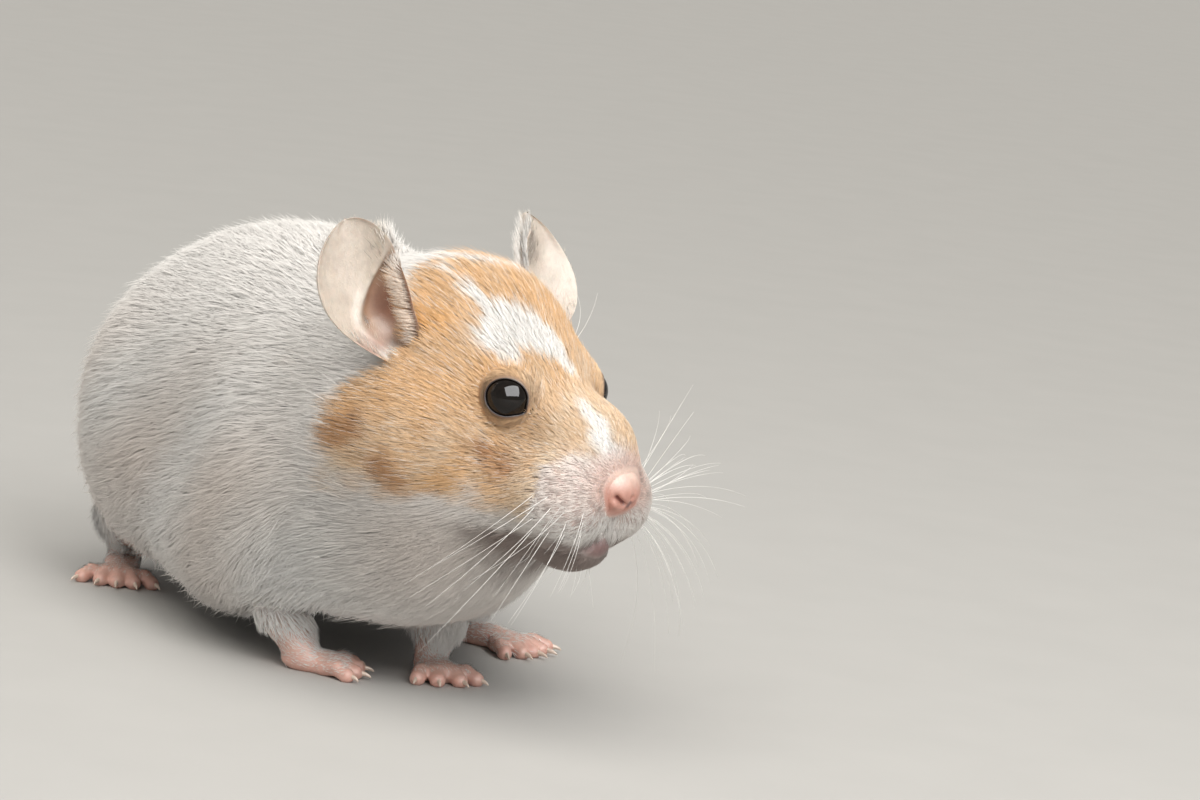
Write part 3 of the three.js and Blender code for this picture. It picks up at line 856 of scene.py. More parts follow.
def marks(points):
    """Colour of the coat: white, with a tan mask that has a blaze and brown spots, and painted shade under
    the jaw.

    Places are first moved out to the outer form of the coat, so that roots and tips of the same hair
    agree. All edges are made ragged by moving each place by random waves, long and short."""
    outer = points - slope_of(coat_distance, points) * coat_distance(points)[:, None]
    ragged = [waves(points, 5.0, salt) + 0.6 * waves(points, 1.8, salt + 6) for salt in (1, 2, 3)]
    local = to_head(outer) + 0.5 * np.stack(ragged, -1)
    forward, sideways, up = np.moveaxis(local, -1, 0)
    drift = np.stack([waves(points, 9.0, salt) for salt in (12, 13, 14)], -1)
    rear, low = mask_edges(local + 1.3 * drift)
    patchy = 0.5 + 0.5 * waves(points, 7.0, 4)
    blush = 0.5 + 0.5 * waves(points, 22.0, 5)
    tone = mix(WHITE, ROSY_WHITE, (0.8 * blush * (1 - fade(points[:, 2], 20, 50)))[:, None])
    pale = 0.7 * (1 - fade(up, -9, 2)) * patchy + 0.5 * fade(forward, 6, 14) + 0.25 * patchy
    tone = painted(tone, mix(TAN, PALE_TAN, np.clip(pale, 0, 1)[:, None]), rear * low)
    tone = painted(tone, GOLD, 0.8 * soft_bars(local, GOLDEN))
    tone = painted(tone, ROSY, 0.5 * fade(forward, 12.5, 17) * (1 - fade(up, -5, 0.5)) * fade(up, -12, -7))
    tone = painted(tone, BROWN, 0.9 * soft_bars(local, RIGHT_SPOTS) * (0.7 + 0.3 * patchy))
    tone = painted(tone, DARK, 0.5 * soft_bars(local, DARK_HAIRS))
    tone = painted(tone, WHITE * 1.06, 0.97 * soft_bars(local, BLAZE))
    tone = painted(tone, WHITE, soft_bars(local, EAR_WHITES))
    tone = painted(tone, NOSE_FUR, 0.9 * (1 - fade(on_nose(outer), 1.3, 2.4)) * fade(up, -11, -7))
    pad = fade(forward, 10.5, 13.5) * fade(np.abs(sideways), 2.5, 5)
    pad = pad * (1 - fade(up, -5.5, -3)) * fade(up, -14, -12)
    tone = painted(tone, PAD_SPECKS, 0.5 * pad * fade(waves(points, 1.7, 15), 0.25, 0.6))
    # Painted shade under the jaw, laid over the chin's own dark hair.
    chin = (1 - fade(up, -15.2, -13.2)) * fade(forward, 1, 8)
    tone = painted(tone, CHIN_FUR_AND_SHADE, 0.85 * chin)
    spot = np.linalg.norm(points - SHOULDER_SPOT, axis=-1)
    return painted(tone, TAN, 0.4 * (1 - fade(spot, 1.0, 3.6)))


# ---- Bare skin ----

NOSE_PINK = (0.56, 0.28, 0.22)
NOSE_PALE = (0.74, 0.55, 0.47)
# Deep red inside the nostrils, where the slits are deepest: partly their own colour, partly painted shade.
NOSTRIL_PINK_AND_SHADE = (0.20, 0.05, 0.04)
# Dark pink of the lips, darkened as painted shade.
LIP_PINK_AND_SHADE = (0.17, 0.085, 0.08)
MUZZLE_PINK = (0.60, 0.43, 0.38)
LID_DARK = (0.03, 0.02, 0.018)
LID_BROWN = (0.24, 0.14, 0.09)
EAR_CREAM = (0.60, 0.53, 0.455)
EAR_PINK = (0.52, 0.34, 0.28)
# Brown of the ear's hollow and well: partly the skin's own colour, partly painted shade. The darker one is
# painted shade at the deepest place of the hollow.
CONCHA_AND_SHADE = (0.44, 0.28, 0.19)
EAR_HOLLOW_SHADE = (0.30, 0.14, 0.09)
FOOT_PINK = (0.72, 0.46, 0.38)
TOE_PINK = (0.68, 0.38, 0.31)
# A dark patch inside the left ear's cup: partly dark skin and hair, partly painted shade.
EAR_DARK_SPOT_AND_SHADE = (0.80, 0.0)  # share of height and share across, on the left ear
# Where the painted shade in each ear's hollow is darkest: share of height and share across.
EAR_SHADE_AT = (0.33, 0.5)
UNDER_COAT = 0.93  # the skin under the coat against the coat's own colour


def from_eye(points):
    """Distance to the middle of the nearer eye."""
    return np.linalg.norm(mirrored(to_head(points)) - EYE_AT, axis=-1)


def from_mouth(points):
    """Distance to the line of the mouth."""
    near_side = mirrored(to_head(points))
    return np.min([segment_distance(near_side, a, b) for a, b in zip(MOUTH, MOUTH[1:])], axis=0)


def from_ear_well(points):
    """Distance to the middle of the nearer ear's well."""
    return np.linalg.norm(mirrored(to_head(points)) - EAR_WELL_AT, axis=-1)


def from_split(points):
    """Distance to the split of the upper lip."""
    return segment_distance(to_head(points), *LIP_SPLIT)


def on_nose(points):
    """How far a place is from the middle of the nose pad, with 1 at the pad's surface."""
    return np.linalg.norm((to_head(points) - NOSE_AT) / NOSE_SIZE, axis=-1)


def on_ear(points, side):
    """1 on an ear above its foot and 0 elsewhere, with its places and whether they are inside the cup."""
    t, front, depth = ear_places(points, side)
    held = fade(t, 0.0, 0.14) * (np.abs(front) < 1.25) * (np.abs(depth) < 2.4) * (t < 1.08)
    return held, t, front, fade(depth, -0.15, 0.15)


def skin_colour(points):
    """Colour of the skin and how bare it is: the coat's markings, and pink or cream where the coat ends, with
    painted shade in the ears' hollows and wells, the nostrils, the mouth and the lip, and inside the left
    ear.
    """
    tone = marks(points) * UNDER_COAT
    bare = np.zeros(len(points))
    mottle = 0.5 + 0.5 * waves(points, 2.6, 11)

    def lay(colour, share):
        """Lays a bare colour over what is there."""
        nonlocal tone, bare
        tone = painted(tone, colour, share)
        bare = np.maximum(bare, share)

    outside = fade(coat_distance(points), -2.5, -0.5)
    lay(FOOT_PINK, outside * (1 - fade(points[:, 2], 4.5, 9)))
    lay(TOE_PINK, outside * (1 - fade(points[:, 2], 1.2, 3.4)) * (0.4 + 0.5 * mottle))
    lay(FOOT_PINK, 0.8 * fade(points[:, 1], 74.5, 78) * outside)
    for side in (1, -1):
        held, t, front, inside = on_ear(points, side)
        lay(EAR_CREAM, held)
        lay(EAR_PINK, 0.8 * held * inside * (1 - fade(t, 0.1, 0.36)))
        lay(EAR_PINK, 0.12 * held * mottle)
        # The hollow is painted with shade, darkest round its deepest place.
        lay(CONCHA_AND_SHADE, held * inside * ear_hollow(t, front))
        deep = np.hypot((t - EAR_SHADE_AT[0]) * 3.0, front - EAR_SHADE_AT[1])
        lay(EAR_HOLLOW_SHADE, 0.9 * held * inside * (1 - fade(deep, 0.15, 0.7)))
    # Dark patch inside the left ear: partly its own dark skin, partly painted shade of the cup.
    held, t, front, inside = on_ear(points, 1)
    spot = np.hypot((t - EAR_DARK_SPOT_AND_SHADE[0]) * 2.2, front - EAR_DARK_SPOT_AND_SHADE[1])
    lay(DARK, 0.6 * held * inside * (1 - fade(spot, 0.1, 0.5)))
    local = to_head(points)
    forward, _, up = np.moveaxis(local, -1, 0)
    well = from_ear_well(points)
    # Painted shade in the well at the foot of each ear.
    lay(CONCHA_AND_SHADE, 0.9 * (1 - fade(well, EAR_WELL_RADIUS, EAR_WELL_RADIUS + 0.5)))
    nose = on_nose(points)
    lay(MUZZLE_PINK, 0.8 * fade(forward, 12.5, 16) * (1 - fade(up, -4, 0)) * fade(up, -14, -11))
    nose_colour = mix(np.array(NOSE_PINK), NOSE_PALE, fade(up, -7.4, -4.0)[:, None])
    lay(nose_colour, 1 - fade(nose, 1.12, 1.32))
    # Painted shade at the bottom of the nostril slits.
    lay(NOSTRIL_PINK_AND_SHADE, 0.9 * (1 - fade(nose, 0.74, 0.90)))
    mouth = from_mouth(points)
    lip = melted(local, [LOWER_LIP], 1.0)
    # Painted shade in the groove of the mouth and in the split of the lip, and over the lower lip's own pink.
    lay(LIP_PINK_AND_SHADE, 0.9 * (1 - fade(mouth, 0.5, 1.1)))
    lay(LIP_PINK_AND_SHADE, 0.8 * (1 - fade(from_split(points), 0.3, 0.6)))
    lay(LIP_PINK_AND_SHADE, 0.9 * (1 - fade(lip, 0.5, 0.9)) * (1 - fade(up, -13.6, -13)))
    eye_edge = from_eye(points) - EYE_RADIUS
    lay(LID_BROWN, 0.7 * (1 - fade(eye_edge, 0.28, 0.36)))
    lay(LID_DARK, 1 - fade(eye_edge, 0.24, 0.30))
    return tone, bare


def store(obj, name, values, kind="FLOAT_COLOR"):
    """Stores a colour or a number at each vertex for the materials to read."""
    layer = obj.data.attributes.new(name, kind, "POINT")
    if kind == "FLOAT_COLOR":
        values = np.concatenate([values, np.ones((len(values), 1))], -1)
        layer.data.foreach_set("color", values.astype(np.float32).ravel())
    else:
        layer.data.foreach_set("value", values.astype(np.float32))


# ---- Tufts ----

TUFT_SINK = 0.25  # how deep each tuft is rooted in the skin
PATCH = 0.003  # size of one tuft's place in its map
FLATNESS = 0.78  # how far a tuft's normals lean towards the skin's
BEND = 0.4  # share of a tuft's length where it bends and is widest
ROOT_TO_TIP = (0.90, 0.98, 0.98, 0.98, 1.03)  # how light a tuft is at its root, at its ring and at its tip


def scattered(grid, density, salt):
    """Random places on a grid of points: each quad gets its area times the density there, and each place is
    a random share of the way across its quad both ways. Returns points and their shares of the grid."""
    random = np.random.default_rng(SEED * 1000 + salt)
    a, b = grid[:-1, :-1], grid[:-1, 1:]
    c, d = grid[1:, 1:], grid[1:, :-1]
    area = np.linalg.norm(np.cross(c - a, d - b), axis=-1) / 2
    wanted = area * density((a + b + c + d) / 4)
    count = np.floor(wanted + random.uniform(size=wanted.shape)).astype(int)
    row, column = (index.repeat(count.ravel()) for index in np.indices(count.shape).reshape(2, -1))
    u, v = random.uniform(size=(2, len(row), 1))
    points = mix(mix(a[row, column], b[row, column], u), mix(d[row, column], c[row, column], u), v)
    shares = np.stack([(column + u[:, 0]) / count.shape[1], (row + v[:, 0]) / count.shape[0]], -1)
    return points, shares


def spindle_mesh(name, points, normals, tones, patches):
    """A mesh of many spindles [spindle, vertex], each a root point, a ring of three and a tip.

    Six faces close each of them. Its bake map lays it out in a patch: along it from root to tip, and
    across it round the ring."""
    faces, places = [], []
    for side in range(3):
        a, b = side + 1, (side + 1) % 3 + 1
        low, high = side / 3, (side + 1) / 3
        faces += [(0, a, b), (a, 4, b)]
        places += [((0, low), (BEND, low), (BEND, high)), ((BEND, low), (1, low), (BEND, high))]
    count = len(points)
    turned = (np.arange(count)[:, None, None] * 5 + np.array(faces)).ravel().astype(np.int32)
    mesh = bpy.data.meshes.new(name)
    mesh.vertices.add(count * 5)
    mesh.vertices.foreach_set("co", ((points + shift) * METRES).astype(np.float32).ravel())
    mesh.loops.add(len(turned))
    mesh.loops.foreach_set("vertex_index", turned)
    mesh.polygons.add(len(turned) // 3)
    mesh.polygons.foreach_set("loop_start", np.arange(0, len(turned), 3, dtype=np.int32))
    mesh.update()
    bake_map = mesh.uv_layers.new(name="OFBake")
    spread = patches[:, None, None] * (1 - PATCH) + np.array(places) * PATCH
    bake_map.data.foreach_set("uv", spread.astype(np.float32).ravel())
    mesh.normals_split_custom_set_from_vertices(normals.reshape(-1, 3))
    obj = placed(name, mesh)
    store(obj, "tone", tones.reshape(-1, 3))
    return obj


def tufts(roots, normals, lie, length, width, rise, pull, tone, salt, field=None, flatness=FLATNESS):
    """Points, normals and colours of one spindle for each root.

    The normals lean towards the skin's by the flatness, so that tufts shade as one coat.
    Its line starts a little under the root. At a share t of its length it stands rise * (1 - (1 - t)^2)
    over the root, measured on the field of the form where one is given, and is drawn aside by the locks'
    pull times t^1.5. The ring stands at the bend. The colour runs from darker roots to lighter tips."""
    random = np.random.default_rng(SEED * 1000 + salt)
    start = None if field is None else field(roots)
    line = []
    for share in (BEND, 1):
        point = roots + lie * (length * share)[:, None] + pull * share**1.5
        height = rise * (1 - (1 - share) ** 2)
        if field is None:
            point = point + normals * height[:, None]
        else:
            point = point + slope_of(field, point) * (start + height - field(point))[:, None]
        line.append(point)
    middle, tip = line
    side = unit(np.cross(tip - middle, normals))
    top = np.cross(side, unit(tip - middle))
    ends = mix(unit(tip - middle), normals, flatness)
    points, facing = [roots - normals * TUFT_SINK], [mix(-unit(tip - middle), normals, flatness)]
    for angle in (math.pi / 2, math.pi * 7 / 6, math.pi * 11 / 6):
        ray = side * math.cos(angle) + top * math.sin(angle) * 0.6
        points.append(middle + ray * width[:, None] / 2)
        facing.append(mix(unit(ray), normals, flatness))
    points.append(tip)
    facing.append(ends)
    shade = random.uniform(0.93, 1.05, (len(roots), 1, 1))
    tones = np.clip(tone[:, None] * shade * np.array(ROOT_TO_TIP)[None, :, None], 0, 0.95)
    return np.stack(points, 1), unit(np.stack(facing, 1)), tones


def coat_pieces(names, order, spindles, patches):
    """Tufts parted into pieces of even size by their order along the body, each with its own bake map."""
    made = []
    points, normals, tones = spindles
    ranks = np.argsort(order)
    groups = np.array_split(ranks, len(names))
    for name, group in zip(names, groups):
        place = patches[group]
        place = (place - place.min(0)) / np.maximum(np.ptp(place, axis=0), 1e-9)
        made.append(spindle_mesh(name, points[group], normals[group], tones[group], place))
    return made


# ---- Coat of trunk, neck and head ----

BODY_PIECES = [
    "coat_rump", "coat_haunches", "coat_loin", "coat_ribs", "coat_shoulders", "coat_neck", "coat_crown",
    "coat_cheeks", "coat_muzzle",
]
BODY_LIE = np.array([0, 1, -0.45])
TRUNK_TUFTS, FACE_TUFTS, MUZZLE_TUFTS = 11.0, 24.0, 30.0  # in a square millimetre
UNDERSIDE_SHARE = 0.55  # of the trunk's tufts that grow under the belly
TUFT_LENGTHS = (3.3, 1.5, 7.0)  # on face, muzzle and body
TUFT_WIDTHS = (0.12, 0.10, 0.20)
NOSE_POINT = on_head((24, 0, -6.5))


def coat_density(points):
    """Tufts in a square millimetre: few and long on the trunk, many and short on the face."""
    forward = to_head(points)[..., 0]
    under = fade(points[..., 2], 8, 20)
    trunk = TRUNK_TUFTS * mix(UNDERSIDE_SHARE, 1, under)
    face = mix(FACE_TUFTS, MUZZLE_TUFTS, fade(forward, 8, 18))
    return mix(trunk, face, fade(forward, -22, -6))


def coat_lie(points, normals):
    """The way the coat lies: backwards and down on the trunk, away from the nose on the head, and parted
    round each eye."""
    forward = to_head(points)[:, 0]
    back = tangent(BODY_LIE + 0 * points, normals)
    from_nose = tangent(points - NOSE_POINT, normals)
    lie = mix(from_nose, back, (1 - fade(forward, -24, -8))[:, None])
    for side in (1, -1):
        away = points - on_head(EYE_AT * [1, side, 1])
        near = 1 - fade(np.linalg.norm(away, axis=-1), EYE_RADIUS + 0.3, EYE_RADIUS + 2.6)
        lie = lie + 0.9 * near[:, None] * tangent(away, normals)
    return tangent(lie - 1.1 * lip_fringe(points)[:, None] * UP, normals)


def in_limbs(points, margin):
    """Whether places lie in a leg."""
    return np.min([limb_distance(points, leg) for leg in LEGS.values()], axis=0) < margin


def in_ears(points):
    """Whether places lie in the foot of an ear or in its well."""
    inside = np.zeros(len(points), bool)
    for side in (1, -1):
        t, front, depth = ear_places(points, side)
        inside |= (t > -0.05) & (np.abs(front) < 0.97) & (np.abs(depth) < 0.35)
    return inside | (from_ear_well(points) < EAR_WELL_RADIUS + 0.35)


def through_ears(roots, way, length):
    """Whether tufts that start at the roots pass through the sheet of an ear."""
    inside = np.zeros(len(roots), bool)
    for side in (1, -1):
        for share in (0.35, 0.6, 0.85):
            t, front, depth = ear_places(roots + way * (length * share)[:, None], side)
            inside |= (t > 0.02) & (t < 1) & (np.abs(front) < 1) & (np.abs(depth) < 0.6)
    return inside


def lip_fringe(points):
    """1 on the lower edge of the upper lip, where the hair hangs over the mouth."""
    up = to_head(points)[:, 2]
    return (1 - fade(from_mouth(points), 1.2, 3.4)) * fade(up, -15.6, -14.2)


def turned_about(vectors, axes, angles):
    """Vectors in a surface turned about its normals."""
    cosine, sine = np.cos(angles)[:, None], np.sin(angles)[:, None]
    return vectors * cosine + np.cross(axes, vectors) * sine


GUARD_SHARE = 0.07  # of the tufts that are longer, thinner and stand further out
GUARD_LENGTH, GUARD_WIDTH, GUARD_RISE = 1.15, 0.6, 1.4


def bare_muzzle(points):
    """1 on the sides of the muzzle in front, where the hair is so sparse that pink skin shows."""
    forward, _, up = np.moveaxis(to_head(points), -1, 0)
    return fade(forward, 12.5, 16.5) * (1 - fade(up, -4, 0)) * fade(up, -14, -11)


def locks_of(points, body):
    """How the tips of the tufts are drawn together: fine on the face, and on the trunk in soft clumps
    that grow from the back down to the belly."""
    shaggy = mix(0.85, 0.2, fade(points[:, 2], 18, 42))[:, None]
    face = wave_pull(points, 1.6, 31) * 0.35
    trunk = wave_pull(points, 4.0, 32) * 1.0 + wave_pull(points, 9.0, 33) * 1.3
    return mix(face, trunk * shaggy, body[:, None])


def by_region(sizes, muzzle, body):
    """A size with its own value on the face, the muzzle and the body."""
    return mix(mix(sizes[0], sizes[1], muzzle), sizes[2], body)


def body_coat():
    """The tufts rooted in the skin of trunk, neck and head."""
    random = np.random.default_rng(SEED)
    grid = np.concatenate([body_grid, body_grid[:, :1]], 1)
    roots, places = scattered(grid, coat_density, 21)
    lip = melted(to_head(roots), [LOWER_LIP], 1.0)
    keep = (on_nose(roots) > 1.18) & (from_mouth(roots) > 0.75) & (lip > 0.7)
    keep &= (from_split(roots) > 0.35) & (from_eye(roots) > EYE_RADIUS + 0.25)
    keep &= ~in_limbs(roots, 0.1) & ~in_ears(roots)
    keep &= random.uniform(size=len(roots)) > 0.2 * bare_muzzle(roots)
    roots, places = roots[keep], places[keep]
    count = len(roots)
    normals = slope_of(coat_distance, roots)
    local = to_head(roots)
    depth = coat_depth(roots)
    body = fade(depth, 1.2, BODY_COAT * 0.9)
    muzzle = fade(local[:, 0], 8, 18)
    guard = random.uniform(size=count) < GUARD_SHARE * (1 - muzzle)
    lie = turned_about(coat_lie(roots, normals), normals, random.normal(0, 0.12, count))
    length = by_region(TUFT_LENGTHS, muzzle, body) * random.uniform(0.7, 1.2, count)
    length *= mix(0.45, 1, fade(from_eye(roots), EYE_RADIUS + 0.3, EYE_RADIUS + 4))
    length *= mix(0.55, 1, fade(on_nose(roots), 1.1, 1.9)) * np.where(guard, GUARD_LENGTH, 1)
    length *= mix(1, 1.9, lip_fringe(roots))
    width = by_region(TUFT_WIDTHS, muzzle, body) * random.uniform(0.7, 1.25, count)
    width *= np.where(guard, GUARD_WIDTH, 1)
    rise = depth * random.uniform(0.7, 1.06, count) * np.where(guard, GUARD_RISE, 1)
    free = ~through_ears(roots, unit(lie + normals * (rise / length)[:, None]), length)
    roots, places, normals, lie, body = (values[free] for values in (roots, places, normals, lie, body))
    length, width, rise, count = length[free], width[free], rise[free], int(free.sum())
    locks = locks_of(roots, body)
    pull = locks - normals * (locks * normals).sum(-1, keepdims=True)
    tone = marks(roots + lie * (0.6 * length)[:, None])
    tan = fade(tone[:, 0] - tone[:, 2], 0.12, 0.3)
    chance = random.uniform(size=count)
    tone = painted(tone, DARK, 0.3 * ((chance < 0.04) * tan))
    tone = painted(tone, BROWN, 0.4 * ((chance > 0.05) * (chance < 0.16) * tan))
    tone = painted(tone, WHITE, 0.5 * ((chance > 0.88) * tan))
    spindles = tufts(roots, normals, lie, length, width, rise, pull, tone, 41, coat_distance)
    return coat_pieces(BODY_PIECES, places[:, 1], spindles, places)


# ---- Coat of the legs, tail, lids and ears ----


def plain_coat(roots, normals, lie, length, width, rise, salt, tone, field=None, flatness=FLATNESS):
    """Tufts of one even length and width, with the usual scatter in both and in the lie."""
    random = np.random.default_rng(SEED * 1000 + salt)
    count = len(roots)
    lie = turned_about(lie, normals, random.normal(0, 0.2, count))
    locks = wave_pull(roots, 1.6, salt + 1) * (0.1 * np.mean(length))
    pull = locks - normals * (locks * normals).sum(-1, keepdims=True)
    length = length * random.uniform(0.75, 1.2, count)
    width = width * random.uniform(0.8, 1.2, count)
    rise = rise * random.uniform(0.6, 1.1, count)
    return tufts(roots, normals, lie, length, width, rise, pull, tone, salt + 2, field, flatness)


def leg_coat(name, leg, salt):
    """Short hair down a leg, found by rays from its shaft, and finer hair over the top of the foot."""
    foot = leg["foot"]
    sole, instep = foot["sole"], foot["high"]
    top = np.array([[1.0, 0, instep], [sole * 0.6, 0, instep], [sole + 1.4, 0, 1.3]])
    stops = np.concatenate([np.array(leg["shaft"])[:, :3], top @ foot_axes(leg) + foot_origin(leg)])
    path = smooth_path(stops, np.linspace(0, 1, 60))
    across = carried(np.ones((60, 2)), path, foot_axes(leg)[0] + UP * 0.2, 48)
    centres = path[:, None].repeat(48, 1)
    rays = unit(across - centres)
    grid = centres + rays * reach(centres, rays, lambda points: limb_distance(points, leg))[..., None]
    grid = np.concatenate([grid, grid[:, :1]], 1)
    roots, places = scattered(grid, lambda points: mix(7.0, 11.0, fade(points[..., 2], 2, 8)), salt)
    normals = slope_of(lambda points: limb_distance(points, leg), roots)
    keep = (roots[:, 2] > 0.9) & (normals[:, 2] > -0.55) & (coat_distance(roots) > -1.2)
    roots, normals, places = roots[keep], normals[keep], places[keep]
    down = -UP * fade(roots[:, 2], 2.5, 6)[:, None] + foot_axes(leg)[0] * 0.8
    high = fade(roots[:, 2], 3.0, 10.0)
    length, width, rise = mix(1.1, 3.8, high), mix(0.09, 0.16, high), mix(0.16, LEG_COAT, high)
    lie = tangent(down, normals)
    spindles = plain_coat(roots, normals, lie, length, width, rise, salt, WHITE + 0 * roots)
    return spindle_mesh(name, *spindles, places)


def tail_coat():
    """Short hair back along the tail."""
    rings = tail_rings()[1]
    grid = np.concatenate([rings, rings[:, :1]], 1)
    roots, places = scattered(grid, lambda points: 9.0 + 0 * points[..., 0], 71)
    share = np.clip((roots[:, 1] - TAIL_STOPS[0][1]) / (TAIL_STOPS[-1][1] - TAIL_STOPS[0][1]), 0, 1)
    centre = smooth_path(TAIL_STOPS, share)
    normals = unit(roots - centre)
    lie = tangent(np.array([0.05, 1, -0.5]) + 0 * roots, normals)
    length = mix(2.4, 0.9, share)
    spindles = plain_coat(roots, normals, lie, length, 0.1 + 0 * share, 0.3, 72, WHITE + 0 * roots)
    return spindle_mesh("coat_tail", *spindles, places)


def lid_coat(side):
    """The shortest hair of all, on the outside of the lids and away from their rims."""
    rings = lid_rings(side)
    outside = rings[:, -LID_CLIMB + 1 :]
    grid = np.concatenate([outside, outside[:1]])
    roots, places = scattered(grid, lambda points: 32.0 + 0 * points[..., 0], 81 + side)
    middle = eye_frame(side)[0]
    normals = unit(roots - middle)
    size = fade(from_eye(roots), EYE_RADIUS + 0.27, EYE_RADIUS + 0.34)
    lie, length, width = coat_lie(roots, normals), mix(0.7, 1.9, size), mix(0.07, 0.12, size)
    rise = np.clip(-coat_distance(roots), 0.12, 1.0)
    tone = painted(marks(roots), LID_BROWN, 0.5 * (1 - size))
    spindles = plain_coat(
        roots, normals, lie, length, width, rise, 84 + 4 * side, tone, coat_distance,
    )
    return spindle_mesh("coat_lid_left" if side > 0 else "coat_lid_right", *spindles, places)


# How far up an ear its front edge is overhung by the cheek's hair.
FRINGE_ENDS = {1: (0.1, 0.3), -1: (0.45, 0.62)}
EAR_DOWN = np.array([0.80, 0.72, 0.62])
EAR_FLATNESS = 0.2


def ear_coat(side):
    """Down over both faces of an ear, thin enough to show the skin, and thicker at its foot."""
    rings = ear(side)[0]
    grid = np.concatenate([rings, rings[:, :1]], 1)
    random = np.random.default_rng(SEED + 2 * side)

    def lushness(t, front, depth):
        """1 where the hair is thick: at the back of the foot, and along the front edge."""
        foot = (1 - fade(t, 0.16, 0.42)) * (depth < 0)
        return np.maximum(foot, fade(front, 0.72, 0.95) * (1 - fade(t, 0.75, 0.92)))

    def density(points):
        """Tufts in a square millimetre."""
        t, front, depth = ear_places(points, side)
        return 4.0 + 16 * lushness(t, front, depth)

    roots, places = scattered(grid, density, 91 + side)
    t, front, depth = ear_places(roots, side)
    inside = places[:, 0] < 0.5
    keep = ~inside | (front > 0.5) | (random.uniform(size=len(t)) < 0.6 * (1 - ear_hollow(t, front)))
    kept = (values[keep] for values in (roots, places, t, front, depth, inside))
    roots, places, t, front, depth, inside = kept
    along, front_way, opening = ear_frame(side)[2:]
    normals = unit(opening - front_way * ear_slope(t, front)[:, None]) * np.where(inside, 1.0, -1.0)[:, None]
    lie = tangent(along - front_way * (0.25 * front[:, None]), normals)
    lush = lushness(t, front, depth)
    fringe = fade(front, 0.72, 0.95) * (1 - fade(t, *FRINGE_ENDS[side]))
    lie = unit(mix(lie, unit(along * 0.6 - front_way * 0.8 + opening * 0.25), fringe[:, None]))
    lie = unit(lie + front_way * (0.6 * fade(front, 0.72, 0.95) * fade(t, *FRINGE_ENDS[side]))[:, None])
    fringe = fringe * np.where(inside, 0.35, 1.0)
    normals = unit(mix(normals, slope_of(coat_distance, roots), fringe[:, None]))
    tone = mix(EAR_DOWN, WHITE, lush[:, None])
    tone = mix(tone, marks(roots), fringe[:, None])
    # Dark tufts in the left ear's patch are partly dark hair and partly painted shade of the cup; the right
    # ear's streak is dark hair.
    spot = np.hypot((t - EAR_DARK_SPOT_AND_SHADE[0]) * 2.2, front - EAR_DARK_SPOT_AND_SHADE[1]) < 0.42
    streak = (front > 0.45) * (front < 0.85) * (t > 0.5) * (t < 0.74)
    dark = (spot * inside if side > 0 else streak) * (random.uniform(size=len(t)) < 0.4)
    tone = painted(tone, DARK, 0.75 * dark)
    lush = np.maximum(lush, 0.6 * dark)
    length = mix(mix(1.1, 0.4, fade(t, 0.75, 0.97)), 3.0, lush)
    width, rise = mix(0.04, 0.11, lush), mix(0.1, 0.5, lush)
    spindles = plain_coat(
        roots, normals, lie, length, width, rise, 95 + 3 * side, tone, flatness=EAR_FLATNESS,
    )
    return spindle_mesh("coat_ear_left" if side > 0 else "coat_ear_right", *spindles, places)


# ---- Whiskers ----

WHISKER_ROOT, WHISKER_TIP = 0.046, 0.013  # radii
WHISKER_ROWS = {1: (6, 6), -1: (4, 4)}  # rows on each side, and whiskers in a row


def whisker(start, way, length, droop, curl, random):
    """Rings of one whisker: a tapered tube on an arc that starts along its way and bends as it goes."""
    steps = 15
    share = np.linspace(0, 1, steps)
    way = unit(way + random.normal(0, 0.12, 3))
    bend = curl + UP * -droop + random.normal(0, 0.14, 3)
    path = start + (way * share[:, None] + bend * share[:, None] ** 2 * 0.5) * length
    radius = mix(WHISKER_ROOT, WHISKER_TIP, share**0.8) * random.uniform(0.75, 1.1)
    return carried(np.stack([radius, radius], -1), path, unit(np.cross(way, HEAD_FORWARD) + 0.01), 5)


